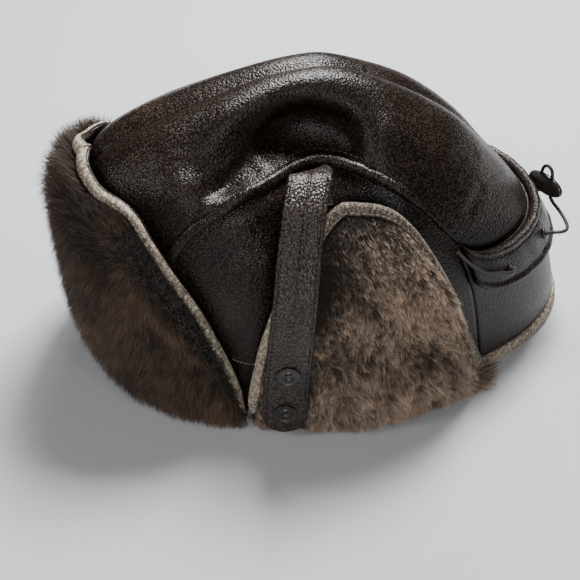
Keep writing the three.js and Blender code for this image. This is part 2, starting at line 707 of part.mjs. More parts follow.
// Deep fur: a thick backing with pointed locks fused to it, all lying the way the pile lies
const pileTaper = (share, power) => Math.max(Math.sin(Math.PI * THREE.MathUtils.clamp(share, 0, 1)), 0) ** power;
function furBody(side, angles, topAt, outAt, depthAt, locks) {
  const base = (degrees, level) => outAt(degrees, level) + leather + fitGap * 2.4;
  const place = (degrees, level, lift) => {
    const held = THREE.MathUtils.clamp(level, 0, 1);
    return onFloor(layer(angleOf(side, degrees), rowAt(held), base(degrees, held) + lift, 0));
  };
  const first = angles[0];
  const last = angles[angles.length - 1];
  const rowsAt = (degrees) => {
    const top = flapLevels(topAt, degrees, fitGap * 2)[flapShares.length - 1];
    return [...flapLevels(topAt, degrees).slice(0, -1), top];
  };
  const topLevel = (degrees) => rowsAt(degrees)[flapShares.length - 1];
  const depth = (degrees, level) => depthAt(
    (degrees - first) / (last - first), level / topLevel(degrees), degrees,
  );
  const backing = wallOver(angles, flapShares.length - 1, (degrees, v, face) => {
    const level = rowsAt(degrees)[Math.round(v * (flapShares.length - 1))];
    return place(degrees, level, face * depth(degrees, level));
  });
  let body = toSolid(backing);
  for (let row = 0; row < locks.rows; row += 1) {
    for (let column = 0; column < locks.columns; column += 1) {
      const shift = row % 2 ? 0.75 : 0.25;
      const degrees = mix(first, last, (column + shift) / locks.columns);
      const level = mix(0.34, 0.86, row / (locks.rows - 1)) * topLevel(degrees);
      const top = depth(degrees, level);
      const half = ((last - first) / locks.columns) * 0.52;
      const long = levels(locks.length);
      const lean = half * locks.lean;
      const corners = [
        place(degrees, level, top * 0.7),
        place(degrees + lean, level - long, top + locks.rise),
        place(degrees - half, level - long * 0.45, top * 0.8),
        place(degrees + half, level - long * 0.45, top * 0.8),
        place(degrees, level - long * 0.4, top + locks.rise),
        place(degrees, level - long * 0.5, top * 0.35),
      ];
      const faces = [0, 2, 4, 0, 4, 3, 1, 4, 2, 1, 3, 4, 0, 5, 2, 0, 3, 5, 1, 2, 5, 1, 5, 3];
      body = body.add(toSolid(closedGeometry(corners, faces)));
    }
  }
  return body;
}
const earPileAt = throughRows(earPile, 'up', 'depth');
const underStrap = (degrees) => bump(degrees + 15.5, 8.5);
const earDepth = (u, v, degrees) => {
  const across = 0.35 + 0.65 * pileTaper(0.04 + 0.92 * u, 0.5);
  return earFur * across * earPileAt(v) * (1 - 0.42 * underStrap(degrees));
};
const frontDepth = (u, v) => {
  const across = 0.4 + 0.6 * pileTaper(0.03 + 0.94 * u, 0.5);
  const up = 0.4 + 0.6 * pileTaper(0.14 + 0.8 * v, 0.6);
  return frontFur * across * up;
};

// Fur inside the cap, seen from below
function liningWall() {
  const back = liningStations.slice(0, -1).reverse().map((angle) => 180 - angle);
  const angles = [...liningStations, ...back].slice(0, -1);
  return wallOver(angles, liningLevels.length - 1, (degrees, v, face) => {
    const share = liningLevels[Math.round(v * (liningLevels.length - 1))];
    const foot = degrees >= panelEnd && degrees <= 180 - panelEnd ? neckEdgeHeight + layerGap : rimLift;
    const level = mix(levels(foot), 1, share);
    const gap = mix(layerGap, liningGap, THREE.MathUtils.smoothstep(share, 0, 0.5));
    const row = share === 1 ? 1 : rowAt(level);
    const out = -leather - gap - (1 - face) * liningFur;
    return onFloor(layer(angleOf(1, degrees), row, out, liningDent), rimLift);
  }, true);
}

// Pale edge of the neck flap, which stands on the table
const neckEdgeSection = [
  { up: 0.00, out: -0.40 },
  { up: 0.00, out: 0.10 },
  { up: 0.35, out: 0.30 },
  { up: 0.80, out: 0.25 },
  { up: 1.00, out: 0.02 },
  { up: 1.00, out: -0.40 },
];
function neckEdge() {
  const angles = acrossBack(neckStart + 0.4);
  return bar(angles.length - 1, (t) => {
    const degrees = angles[Math.round(t * (angles.length - 1))];
    return neckEdgeSection.map((corner) => {
      const level = levels(neckEdgeHeight * corner.up);
      const point = layer(angleOf(1, degrees), rowAt(level), corner.out * neckEdgeThickness);
      point.z = neckEdgeHeight * corner.up;
      return point;
    });
  });
}

// A stepped disc about a direction: rings of a section, closed on itself when it has a hole
function turned(centre, normal, section, sides) {
  const turn = new THREE.Quaternion().setFromUnitVectors(new THREE.Vector3(0, 0, 1), normal);
  const points = section.map(({ radius, height }) => new THREE.Vector2(radius, height));
  const lathe = new THREE.LatheGeometry(points, sides);
  lathe.rotateX(Math.PI / 2);
  lathe.applyQuaternion(turn);
  lathe.translate(centre.x, centre.y, centre.z);
  return bare(lathe);
}
const pressSocket = [
  { radius: socketHole, height: 0 },
  { radius: socketRadius, height: 0 },
  { radius: socketRadius, height: socketHeight * 0.55 },
  { radius: socketRadius * 0.8, height: socketHeight },
  { radius: socketRadius * 0.5, height: socketHeight * 0.6 },
  { radius: socketHole, height: socketHeight * 0.7 },
  { radius: socketHole, height: 0 },
];
const pressStud = (radius, height) => [
  { radius: 0, height: 0 },
  { radius, height: 0 },
  { radius, height: height * 0.3 },
  { radius: radius * 0.5, height: height * 0.45 },
  { radius: radius * 0.62, height: height * 0.8 },
  { radius: radius * 0.4, height },
  { radius: 0, height },
];
const eyeletRing = [
  { radius: eyeletInner, height: 0 },
  { radius: eyeletOuter, height: 0 },
  { radius: eyeletOuter, height: eyeletRim * 0.5 },
  { radius: eyeletOuter - eyeletWall * 0.9, height: eyeletRim },
  { radius: eyeletInner, height: eyeletRim * 0.6 },
  { radius: eyeletInner, height: 0 },
];

// A place on the outer face of a belt, between two rows of its run
function onBelt(side, run, row) {
  const centres = beltCentres(side, run);
  const i = Math.floor(row);
  const { normal } = beltFrame(side, run, centres, Math.round(row));
  const here = centres[i].clone().lerp(centres[i + 1], row - i);
  return { here: here.addScaledVector(normal, strapThickness / 2 + fitGap), normal };
}

// Drawcord: the held stretch follows its table, ring by ring; the free loop is a tube on a curve
function heldCord(side) {
  const centres = cordRun.map((row) => onBand(side, row, row.out * bandThickness).here);
  const sides = 8;
  return bar(cordRun.length - 1, (t) => {
    const i = Math.round(t * (cordRun.length - 1));
    const along = centres[Math.min(i + 1, centres.length - 1)].clone()
      .sub(centres[Math.max(i - 1, 0)]).normalize();
    const across = new THREE.Vector3(0, 0, 1).cross(along).normalize();
    const up = along.clone().cross(across);
    return Array.from({ length: sides }, (_, k) => centres[i].clone()
      .addScaledVector(across, (cordDiameter / 2) * Math.cos((2 * Math.PI * k) / sides))
      .addScaledVector(up, (cordDiameter / 2) * Math.sin((2 * Math.PI * k) / sides)));
  });
}
function freeCord() {
  const route = new THREE.CatmullRomCurve3(cordLoop.map((p) => new THREE.Vector3(...p)), false, 'centripetal');
  const section = new THREE.Shape().absarc(0, 0, cordDiameter / 2, 0, 2 * Math.PI);
  const steps = Math.ceil(route.getLength() / (2.2 * cordDiameter));
  return bare(new THREE.ExtrudeGeometry(section, {
    steps, curveSegments: 4, bevelEnabled: false, extrudePath: route,
  }));
}

// Toggle: a flat oval with two bores for the drawcord
function toggle() {
  const body = new THREE.SphereGeometry(0.5, 16, 8);
  body.rotateX(Math.PI / 2);
  body.scale(toggleLength, toggleThickness, toggleWidth);
  let solid = toSolid(bare(body));
  for (const end of [-1, 1]) {
    const bore = new THREE.CylinderGeometry(cordDiameter / 2 + holeClearance, cordDiameter / 2 + holeClearance,
      toggleWidth * 1.2, 12);
    bore.rotateX(Math.PI / 2);
    bore.translate((end * toggleBoreSpacing) / 2, 0, 0);
    solid = solid.subtract(toSolid(bare(bore)));
  }
  const shape = fromSolid(solid);
  shape.rotateZ(THREE.MathUtils.degToRad(toggleTurn));
  shape.translate(...toggleCentre);
  return shape;
}

cap.name = 'flying_cap';
const strapGrown = toSolid(belt(1, strapRun, strapWidth, strapThickness, fitGap));
for (const side of [1, -1]) {
  const name = sideName(side);
  add(`crown_${name}`, crownHalf(side), brownLeather);
  add(`hem_welt_${name}`, hemWelt(side), brownLeather);
  add(`side_panel_${name}`, sidePanel(side), brownLeather);
  add(`ear_flap_${name}`, flapSkin(side, earAngles, earFlapLevel, earOut), brownLeather);
  add(`ear_flap_edge_${name}`, edgeStrip(side, earAngles, earFlapLevel, earOut), rawSkin);
  const earLocks = { rows: 3, columns: 5, length: 30, rise: 2.5, lean: -0.6 };
  const pile = furBody(side, earAngles.slice(1, -1), earFlapLevel, earOut, earDepth, earLocks);
  add(`ear_fur_${name}`, fromSolid(side > 0 ? pile.subtract(strapGrown) : pile), taupeFur);
}
add('front_panel', frontPanel(), brownLeather);
add('neck_flap', neckFlap(), brownLeather);
add('neck_flap_edge', neckEdge(), rawSkin);
let cover = toSolid(bandCover());
for (const { side, at } of eyelets) cover = cover.subtract(eyeletHole(side, at));
add('back_band', fromSolid(cover), brownLeather);
for (const { side, name, at } of eyelets) {
  const { here, normal } = onBand(side, at, bandThickness * 1.04 + bandLift + fitGap);
  add(name, turned(here, normal, eyeletRing, 12), darkMetal);
}
add('lining', liningWall(), brownFur);
add('front_flap', flapSkin(1, frontAngles, frontTop, frontOut), brownLeather);
add('front_flap_edge', edgeStrip(1, frontAngles, frontTop, frontOut), rawSkin);
const frontLocks = { rows: 3, columns: 9, length: 36, rise: 3.5, lean: 0.3 };
const frontPile = furBody(1, frontAngles.slice(1, -1), frontTop, frontOut, frontDepth, frontLocks);
add('front_fur', fromSolid(frontPile), brownFur);

add('strap_left', belt(1, strapRun, strapWidth, strapThickness), strapLeather);
socketRows.forEach((row, i) => {
  const { here, normal } = onBelt(1, strapRun, row);
  add(`press_socket_${i + 1}`, turned(here, normal, pressSocket, 14), darkMetal);
});
add('strap_right', belt(-1, tabRun, tabWidth, strapThickness), strapLeather);
const tabStud = onBelt(-1, tabRun, tabStudRow);
const tabStudProfile = pressStud(studRadius, studHeight);
add('press_stud_tab', turned(tabStud.here, tabStud.normal, tabStudProfile, 12), darkMetal);

for (const side of [1, -1]) {
  const { angle, level } = panelStud;
  const here = layer(angleOf(side, angle), rowAt(level), fitGap);
  const normal = outward(angleOf(side, angle), rowAt(level), 1);
  const section = pressStud(studRadius * 0.7, studHeight * 0.7);
  add(`panel_stud_${sideName(side)}`, turned(here, normal, section, 12), darkMetal);
  add(`drawcord_${sideName(side)}`, heldCord(side), cordCover);
}
add('drawcord_loop', freeCord(), cordCover);
add('toggle', toggle(), toggleHorn);

// Origin at the middle of the cap's footprint
const box = new THREE.Box3().setFromObject(cap);
cap.position.set(-(box.min.x + box.max.x) / 2, -(box.min.y + box.max.y) / 2, -box.min.z);

export default cap;
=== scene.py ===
import bpy
import json
import math
import numpy as np
import bmesh
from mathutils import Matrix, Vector
from mathutils.kdtree import KDTree

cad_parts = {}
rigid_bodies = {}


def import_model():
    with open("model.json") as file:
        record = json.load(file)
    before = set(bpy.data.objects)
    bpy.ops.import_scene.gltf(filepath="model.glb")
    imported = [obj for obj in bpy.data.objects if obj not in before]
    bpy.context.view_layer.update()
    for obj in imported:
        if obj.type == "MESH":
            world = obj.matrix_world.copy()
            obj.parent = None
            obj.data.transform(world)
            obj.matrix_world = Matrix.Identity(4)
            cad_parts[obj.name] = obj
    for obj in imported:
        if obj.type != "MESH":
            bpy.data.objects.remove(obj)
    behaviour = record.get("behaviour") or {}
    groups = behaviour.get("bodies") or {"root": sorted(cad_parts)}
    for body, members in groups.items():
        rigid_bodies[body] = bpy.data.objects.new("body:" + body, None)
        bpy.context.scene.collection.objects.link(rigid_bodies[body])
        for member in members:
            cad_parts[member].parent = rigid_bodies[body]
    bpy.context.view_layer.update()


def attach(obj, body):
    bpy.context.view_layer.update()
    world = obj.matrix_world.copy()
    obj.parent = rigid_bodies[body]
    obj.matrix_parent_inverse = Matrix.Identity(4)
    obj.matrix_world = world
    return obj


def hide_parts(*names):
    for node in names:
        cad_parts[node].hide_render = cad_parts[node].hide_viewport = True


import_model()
print("frame loaded")

# Camera, floor and lights
# Lengths below are in millimetres in the head form's own frame, and toFrame() turns them into
# metres in the part's frame, whose origin is the middle of the footprint.
cameraSettings = {
    "place": (508.0, -148.9, 458.5),
    "target": (49.2, -26.0, 60.0),
    "lens": 68.5,
    "sensor": 36.0,
}
formShift = (0.0, -4.99, 0.0)


def toFrame(points):
    return (np.asarray(points, float) + np.array(formShift)) * 0.001


def aim(thing, place, target):
    direction = np.array(target, float) - np.array(place, float)
    thing.location = place
    thing.rotation_euler = Vector(direction).to_track_quat("-Z", "Y").to_euler()


def newObject(name, data):
    made = bpy.data.objects.new(name, data)
    bpy.context.scene.collection.objects.link(made)
    return made


cameraData = bpy.data.cameras.new("photoCamera")
cameraData.lens = cameraSettings["lens"]
cameraData.sensor_width = cameraSettings["sensor"]
cameraData.clip_start = 0.01
camera = newObject("photoCamera", cameraData)
aim(camera, toFrame(cameraSettings["place"]), toFrame(cameraSettings["target"]))
bpy.context.scene.camera = camera

# name, place and target in metres, size in metres, watts
lightSettings = [
    ("skyPanel", (-0.42, 0.26, 1.0), (0.0, 0.0, 0.08), 0.38, 30.0),
    ("rearPanel", (-0.85, 0.15, 0.8), (0.0, 0.0, 0.1), 0.25, 3.0),
    ("fillPanel", (0.98, -0.22, 0.56), (0.05, 0.0, 0.06), 0.26, 3.4),
    ("sidePanel", (0.72, 0.1, 0.88), (0.05, 0.0, 0.08), 0.16, 0.8),
    ("frontPanel", (0.22, -0.85, 0.64), (0.05, -0.05, 0.12), 0.2, 2.6),
]
for name, place, target, size, watts in lightSettings:
    lampData = bpy.data.lights.new(name, "AREA")
    lampData.shape = "SQUARE"
    lampData.size = size
    lampData.energy = watts
    aim(newObject(name, lampData), place, target)

worldSettings = {"Color": (0.8, 0.82, 0.85, 1), "Strength": 0.05}
world = bpy.data.worlds.new("softRoom")
world.use_nodes = True
for key, value in worldSettings.items():
    world.node_tree.nodes["Background"].inputs[key].default_value = value
bpy.context.scene.world = world
print("camera and lights placed")


# Materials
def newMaterial(name):
    material = bpy.data.materials.new(name)
    material.use_nodes = True
    tree = material.node_tree
    return material, tree, tree.nodes["Principled BSDF"]


def fillNode(tree, node, links=None, **values):
    # sets a node's inputs or its attributes, then links its inputs to the outputs given
    for key, value in values.items():
        if key in node.inputs:
            node.inputs[key].default_value = value
        else:
            setattr(node, key, value)
    for key, output in (links or {}).items():
        tree.links.new(output, node.inputs[key])
    return node


def addNode(tree, kind, links=None, **values):
    return fillNode(tree, tree.nodes.new(kind), links, **values)


def addNoise(tree, where, scale, detail, rough):
    made = addNode(tree, "ShaderNodeTexNoise", {"Vector": where}, Scale=scale, Detail=detail, Roughness=rough)
    return made.outputs["Fac"]


def colourRamp(tree, factor, stops):
    ramp = addNode(tree, "ShaderNodeValToRGB", {"Fac": factor})
    elements = ramp.color_ramp.elements
    while len(elements) < len(stops):
        elements.new(0.5)
    for element, (place, colour) in zip(elements, stops):
        element.position = place
        element.color = (*colour, 1)
    return ramp.outputs["Color"]


def leatherMaterial(name, look):
    # pebbles are the cells of a warped Voronoi field, with creases over them: height = crease * share +
    # distance to the cell's middle, turned over. The colour goes by slow patches and darkens between cells.
    material, tree, shader = newMaterial(name)
    where = addNode(tree, "ShaderNodeTexCoord").outputs["Object"]
    warp = addNode(tree, "ShaderNodeTexNoise", {"Vector": where}, Scale=look["pebbles"] * 0.35, Detail=2.0)
    bend = addNode(tree, "ShaderNodeVectorMath", {0: warp.outputs["Color"], 2: where},
                   operation="MULTIPLY_ADD")
    bend.inputs[1].default_value = (look["warp"],) * 3
    pebbles = addNode(tree, "ShaderNodeTexVoronoi", {"Vector": bend.outputs[0]}, feature="SMOOTH_F1",
                      Scale=look["pebbles"], Randomness=1.0, Smoothness=0.35).outputs["Distance"]
    creases = addNoise(tree, where, look["creases"], 6.0, 0.62)
    patches = addNoise(tree, where, look["patches"], 4.0, 0.6)
    height = addNode(tree, "ShaderNodeMath", {0: creases, 2: pebbles}, operation="MULTIPLY_ADD")
    height.inputs[1].default_value = look["creaseShare"]
    relief = addNode(tree, "ShaderNodeBump", {"Height": height.outputs[0]}, invert=True,
                     Strength=look["bump"], Distance=look["depth"])
    tone = colourRamp(tree, patches, look["tones"])
    between = colourRamp(tree, pebbles, leatherShade["stops"])
    shade = addNode(tree, "ShaderNodeMix", {6: tone, 7: between}, data_type="RGBA", blend_type="MULTIPLY",
                    Factor=leatherShade["share"])
    low, high = look["roughness"]
    gloss = addNode(tree, "ShaderNodeMapRange", {"Value": creases},
                    **{"From Min": 0.3, "From Max": 0.7, "To Min": low, "To Max": high})
    fillNode(tree, shader, {"Normal": relief.outputs[0], "Base Color": shade.outputs[2],
                            "Roughness": gloss.outputs["Result"]}, **{"Specular IOR Level": look["specular"]})
    return material


def furMaterial(name, look):
    material, tree, shader = newMaterial(name)
    tint = addNode(tree, "ShaderNodeAttribute", attribute_name="furColour")
    fillNode(tree, shader, {"Base Color": tint.outputs["Color"]}, **look)
    return material


def rawSkinMaterial(name, look):
    # cracks where the distance to a cell's edge is small, over a fluffy noise for colour and height
    material, tree, shader = newMaterial(name)
    where = addNode(tree, "ShaderNodeTexCoord").outputs["Object"]
    cracks = addNode(tree, "ShaderNodeTexVoronoi", {"Vector": where}, feature="DISTANCE_TO_EDGE",
                     Scale=look["cracks"])
    fluff = addNoise(tree, where, look["fluff"], 8.0, 0.7)
    edge = addNode(tree, "ShaderNodeMapRange", {"Value": cracks.outputs["Distance"]}, **{"From Max": 0.12})
    tone = colourRamp(tree, fluff, look["tones"])
    dark = addNode(tree, "ShaderNodeMix", {"Factor": edge.outputs["Result"], 7: tone}, data_type="RGBA",
                   blend_type="MIX")
    dark.inputs[6].default_value = (*look["crackColour"], 1)
    relief = addNode(tree, "ShaderNodeBump", {"Height": fluff}, Strength=0.8, Distance=0.0006)
    fillNode(tree, shader, {"Base Color": dark.outputs[2], "Normal": relief.outputs[0]}, Roughness=0.85)
    return material


def plainMaterial(name, grainScale, bumpShare, roughness, metallic, *tones):
    material, tree, shader = newMaterial(name)
    where = addNode(tree, "ShaderNodeTexCoord").outputs["Object"]
    grain = addNoise(tree, where, grainScale, 5.0, 0.6)
    relief = addNode(tree, "ShaderNodeBump", {"Height": grain}, Strength=bumpShare, Distance=0.0003)
    fillNode(tree, shader, {"Base Color": colourRamp(tree, grain, tones), "Normal": relief.outputs[0]},
             Roughness=roughness, Metallic=metallic)
    return material


leatherShade = {
    "share": 0.95, "stops": [(0.16, (1, 1, 1)), (0.33, (0.62, 0.6, 0.58)), (0.47, (0.1, 0.09, 0.085))],
}
brownLeather = leatherMaterial("brownLeather", {
    "pebbles": 820.0, "warp": 0.001, "creases": 420.0, "creaseShare": 0.42, "patches": 26.0,
    "bump": 0.5, "depth": 0.0006, "specular": 0.26, "roughness": (0.24, 0.42),
    "tones": [(0.3, (0.026, 0.017, 0.0126)), (0.55, (0.051, 0.0325, 0.0236)), (0.78, (0.085, 0.0535, 0.038))],
})
# the same leather as the crown, with lighter tones: painted light, for the light and highlights that the
# strap catches
strapLeather = leatherMaterial("strapLeather", {
    "pebbles": 780.0, "warp": 0.001, "creases": 420.0, "creaseShare": 0.42, "patches": 30.0,
    "bump": 0.62, "depth": 0.0008, "specular": 0.4, "roughness": (0.24, 0.38),
    "tones": [(0.3, (0.058, 0.0425, 0.0335)), (0.6, (0.11, 0.08, 0.0625)), (0.8, (0.155, 0.112, 0.088))],
})
furLook = furMaterial("furPile", {"Roughness": 0.72, "Specular IOR Level": 0.3, "Sheen Weight": 0.15,
                                  "Sheen Roughness": 0.5})
rawSkin = rawSkinMaterial("rawSkin", {
    "cracks": 420.0, "fluff": 420.0, "crackColour": (0.1, 0.076, 0.052),
    "tones": [(0.34, (0.13, 0.1, 0.07)), (0.48, (0.36, 0.3, 0.225)), (0.64, (0.74, 0.65, 0.52))],
})
wornSkin = rawSkinMaterial("wornSkin", {
    "cracks": 520.0, "fluff": 650.0, "crackColour": (0.022, 0.015, 0.011),
    "tones": [(0.36, (0.03, 0.022, 0.016)), (0.5, (0.135, 0.105, 0.079)), (0.64, (0.42, 0.345, 0.265))],
})
# grain, bump, roughness, metallic, then a dark and a light tone, each at its place in the grain
plainLooks = {
    "darkMetal": (900.0, 0.15, 0.3, 0.8, (0.3, (0.035, 0.033, 0.031)), (0.7, (0.095, 0.09, 0.085))),
    "cordCover": (1400.0, 0.7, 0.5, 0.0, (0.3, (0.012, 0.009, 0.008)), (0.7, (0.034, 0.024, 0.02))),
    "toggleHorn": (120.0, 0.05, 0.2, 0.0, (0.35, (0.018, 0.015, 0.014)), (0.7, (0.045, 0.038, 0.034))),
    "threadLook": (1600.0, 0.5, 0.6, 0.0, (0.3, (0.02, 0.015, 0.013)), (0.7, (0.05, 0.038, 0.031))),
    "paleThread": (1600.0, 0.5, 0.7, 0.0, (0.3, (0.22, 0.18, 0.138)), (0.7, (0.4, 0.335, 0.265))),
}
darkMetal, cordCover, toggleHorn, threadLook, paleThread = (
    plainMaterial(name, *look) for name, look in plainLooks.items())
print("materials made")


# Mesh helpers
def unit(vectors):
    return vectors / np.maximum(np.linalg.norm(vectors, axis=-1, keepdims=True), 1e-9)


def makeMesh(name, points, faces, check=True):
    # points in the form's millimetres; faces is an array with three or four corners a row
    mesh = bpy.data.meshes.new(name)
    mesh.vertices.add(len(points))
    mesh.vertices.foreach_set("co", toFrame(points).astype(np.float32).ravel())
    mesh.loops.add(faces.size)
    mesh.loops.foreach_set("vertex_index", faces.astype(np.int32).ravel())
    mesh.polygons.add(len(faces))
    mesh.polygons.foreach_set("loop_start", np.arange(0, faces.size, faces.shape[1], dtype=np.int32))
    mesh.update(calc_edges=True)
    if check:
        mesh.validate()
    mesh.polygons.foreach_set("use_smooth", np.full(len(mesh.polygons), True))
    return newObject(name, mesh)


def outwardFaces(points, faces):
    # faces turned so that the volume they close, the sum of corner determinants, is positive
    a, b, c = (points[faces[:, k]] for k in (0, 1, 2))
    volume = np.einsum("ij,ij->", a, np.cross(b, c))
    if faces.shape[1] == 4:
        volume += np.einsum("ij,ij->", a, np.cross(c, points[faces[:, 3]]))
    return faces if volume > 0 else faces[:, ::-1]


def gridFaces(rows, columns, wrapRows=False):
    # quads between neighbouring rows and columns of a grid of numbered points
    i, j = np.meshgrid(np.arange(rows if wrapRows else rows - 1), np.arange(columns - 1), indexing="ij")
    following = (i + 1) % rows
    quads = [i * columns + j, following * columns + j, following * columns + j + 1, i * columns + j + 1]
    return np.stack(quads, -1).reshape(-1, 4)


def ringQuads(rings, count):
    # quads between neighbouring rings of count points each
    i, k = np.meshgrid(np.arange(rings - 1), np.arange(count), indexing="ij")
    following = (k + 1) % count
    quads = [i * count + k, i * count + following, (i + 1) * count + following, (i + 1) * count + k]
    return np.stack(quads, -1).reshape(-1, 4)


def closedGrid(inner, outer, wrap=False):
    # points and quads of a closed wall: an outer grid, an inner grid turned round, and strips that join them
    rows, columns = outer.shape[:2]
    points = np.concatenate([outer.reshape(-1, 3), inner.reshape(-1, 3)])
    shift = rows * columns
    front = gridFaces(rows, columns, wrap)
    i = np.arange(rows if wrap else rows - 1) * columns
    following = (i + columns) % shift
    low = np.stack([i, i + shift, following + shift, following], -1)
    sides = [front, front[:, ::-1] + shift, low, low[:, ::-1] + columns - 1]
    if not wrap:
        j = np.arange(columns - 1)
        start = np.stack([j, j + 1, j + 1 + shift, j + shift], -1)
        sides += [start, start[:, ::-1] + (rows - 1) * columns]
    return points, outwardFaces(points, np.concatenate(sides))


def wallMesh(name, inner, outer):
    return makeMesh(name, *closedGrid(inner, outer))


def tubeMesh(name, path, sections):
    # rings of points carried along a path, closed at both ends by a fan to the path's end
    rings, count = sections.shape[:2]
    points = np.concatenate([sections.reshape(-1, 3), path[:1], path[-1:]])
    k = np.arange(count)
    following = (k + 1) % count
    first = np.full(count, rings * count)
    lastRing = (rings - 1) * count
    start = np.stack([k, first, first, following], -1)
    end = np.stack([lastRing + k, lastRing + following, first + 1, first + 1], -1)
    faces = np.concatenate([ringQuads(rings, count), start, end])
    return tidyMesh(makeMesh(name, points, outwardFaces(points, faces)))


def tidyMesh(piece, distance=1e-6):
    # equal points merged and collapsed faces dropped
    work = bmesh.new()
    work.from_mesh(piece.data)
    bmesh.ops.remove_doubles(work, verts=work.verts, dist=distance)
    bmesh.ops.dissolve_degenerate(work, edges=work.edges, dist=distance)
    bmesh.ops.recalc_face_normals(work, faces=work.faces)
    work.to_mesh(piece.data)
    work.free()
    return piece


def finishPiece(piece, material, slot, *nodes):
    piece.data.materials.append(material)
    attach(piece, "root")
    if nodes:
        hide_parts(*nodes)
    return piece


# The head form
form = {
    "crownHeight": 172.0, "rimHalfWidth": 90.0, "frontReach": 125.0, "backReach": 152.0, "squareness": 2.15,
    "leather": 2.0, "seamSlit": 0.5, "grooveDepth": 2.0, "grooveHalfWidth": 4.5, "lobeRise": 2.0,
    "lobeSpacing": 15.0, "lobeHalfWidth": 10.0, "lobeStart": 70.0, "lobeFade": 60.0,
    # level, side, front, back: slices from the rim to the top as shares of the sizes above
    "slices": [
        (0.0, 1.0, 0.9, 1.055), (0.15, 0.99, 0.945, 1.02), (0.3, 0.97, 0.975, 0.96),
        (0.42, 0.945, 0.99, 0.885), (0.52, 0.905, 1.0, 0.795), (0.61, 0.85, 1.0, 0.705),
        (0.7, 0.77, 0.995, 0.615), (0.78, 0.665, 0.965, 0.52), (0.85, 0.54, 0.825, 0.415),
        (0.905, 0.415, 0.61, 0.31), (0.95, 0.295, 0.405, 0.2), (0.98, 0.185, 0.24, 0.115),
        (0.995, 0.09, 0.11, 0.052), (1.0, 0.0, 0.0, 0.0),
    ],
    # side, along, level, push, alongReach, levelReach: where the soft crown has sunk in
    "dents": [
        (1, -0.08, 0.83, 0.267, 0.225, 0.14), (1, -0.064, 0.61, 0.156, 0.208, 0.232),
        (-1, 0.06, 0.8, 0.12, 0.28, 0.16),
    ],
    # angle, level: the crown's lower edge from the front round to the back
    "hem": [
        (-90, 0.45), (-62, 0.45), (-52, 0.49), (-46, 0.59), (-39, 0.678), (-30, 0.736), (-21, 0.775),
        (-6, 0.77), (5, 0.772), (12, 0.76), (18, 0.732), (23, 0.685), (27, 0.6), (31, 0.515),
        (38, 0.47), (50, 0.45), (70, 0.441), (90, 0.44),
    ],
}


def curveThrough(xs, ys):
    # cubic pieces through the points, whose slope at each point is that of the chord past it
    xs, ys = np.asarray(xs, float), np.asarray(ys, float)
    count = len(xs)
    before, after = np.maximum(np.arange(count) - 1, 0), np.minimum(np.arange(count) + 1, count - 1)
    slope = (ys[after] - ys[before]) / (xs[after] - xs[before])

    def value(x):
        x = np.asarray(x, float)
        i = np.clip(np.searchsorted(xs, x, side="left") - 1, 0, count - 2)
        span = xs[i + 1] - xs[i]
        t = np.clip((x - xs[i]) / span, 0, 1)
        ease = t * t * (3 - 2 * t)
        curve = ys[i] * (1 - ease) + ys[i + 1] * ease + slope[i] * t * (1 - t) ** 2 * span
        return curve + slope[i + 1] * t * t * (t - 1) * span
    return value


# one slice past the top mirrors the last but one, so that the form closes smoothly
sliceTable = np.array(form["slices"])
sliceRows = np.arange(len(sliceTable)) / (len(sliceTable) - 1)
sliceRows = np.append(sliceRows, 2 - sliceRows[-2])
sliceTable = np.vstack([sliceTable, sliceTable[-2] * np.array([1, -1, -1, -1])])
formLevel, formSide, formFront, formBack = (curveThrough(sliceRows, sliceTable[:, k]) for k in range(4))
fineRows = np.linspace(0, 1, 6001)
fineLevels = np.maximum.accumulate(formLevel(fineRows))


def rowAt(level):
    return np.interp(level, fineLevels, fineRows)


def bump(distance, reach):
    return np.exp(-((distance / reach) ** 2))


def skin(angle, row, dented=1.0):
    # x, y: a superellipse of the slice at this row; z: its level; then the seam's lobes and the dents
    power = 2 / form["squareness"]
    sine, cosine = np.sin(angle), np.cos(angle)
    reach = np.where(sine > 0, formBack(row) * form["backReach"], formFront(row) * form["frontReach"])
    x = formSide(row) * form["rimHalfWidth"] * np.sign(cosine) * np.abs(cosine) ** power
    y = reach * np.sign(sine) * np.abs(sine) ** power
    z = formLevel(row) * form["crownHeight"] + 0 * y
    padded = np.clip((z - form["lobeStart"]) / form["lobeFade"], 0, 1)
    z = z + padded * form["lobeRise"] * bump(np.abs(x) - form["lobeSpacing"], form["lobeHalfWidth"])
    z = z - padded * form["grooveDepth"] * bump(x, form["grooveHalfWidth"])
    plain = x
    for side, along, level, push, alongReach, levelReach in form["dents"]:
        near = bump(y - along * form["frontReach"], alongReach * form["frontReach"])
        near = near * bump(z - level * form["crownHeight"], levelReach * form["crownHeight"])
        held = np.clip(side * plain / (form["rimHalfWidth"] / 2), 0, 1)
        x = x - dented * side * push * form["rimHalfWidth"] * near * held
    return np.stack(np.broadcast_arrays(x, y, z), -1)


def outward(angle, row, dented=1.0):
    # the normal, from the cross product of the steps round and up the form
    step = 0.004
    low = np.maximum(row - step, 0)
    high = np.maximum(np.minimum(row + step, 1 - step / 4), low + step)
    upward = skin(angle, high, dented) - skin(angle, low, dented)
    held = np.minimum(row, 1 - step)
    around = skin(angle + step, held, dented) - skin(angle - step, held, dented)
    normal = unit(np.cross(around, upward))
    return np.where((row > 1 - step / 2)[..., None], np.array([0, 0, 1.0]), normal)


def layer(angle, row, out, dented=1.0):
    # a point out millimetres above the leather's outer face
    angle, row, out = np.broadcast_arrays(angle, row, out)
    return skin(angle, row, dented) + outward(angle, row, dented) * out[..., None]


def angleOf(side, degrees):
    return np.radians(degrees if side > 0 else 180 - np.asarray(degrees, float))


def onForm(side, degrees, level, out=0.0, dented=1.0):
    return layer(angleOf(side, degrees), rowAt(level), out, dented)


def levels(millimetres):
    return millimetres / form["crownHeight"]


def foldedBack(degrees):
    return np.where(degrees > 90, 180 - degrees, degrees)


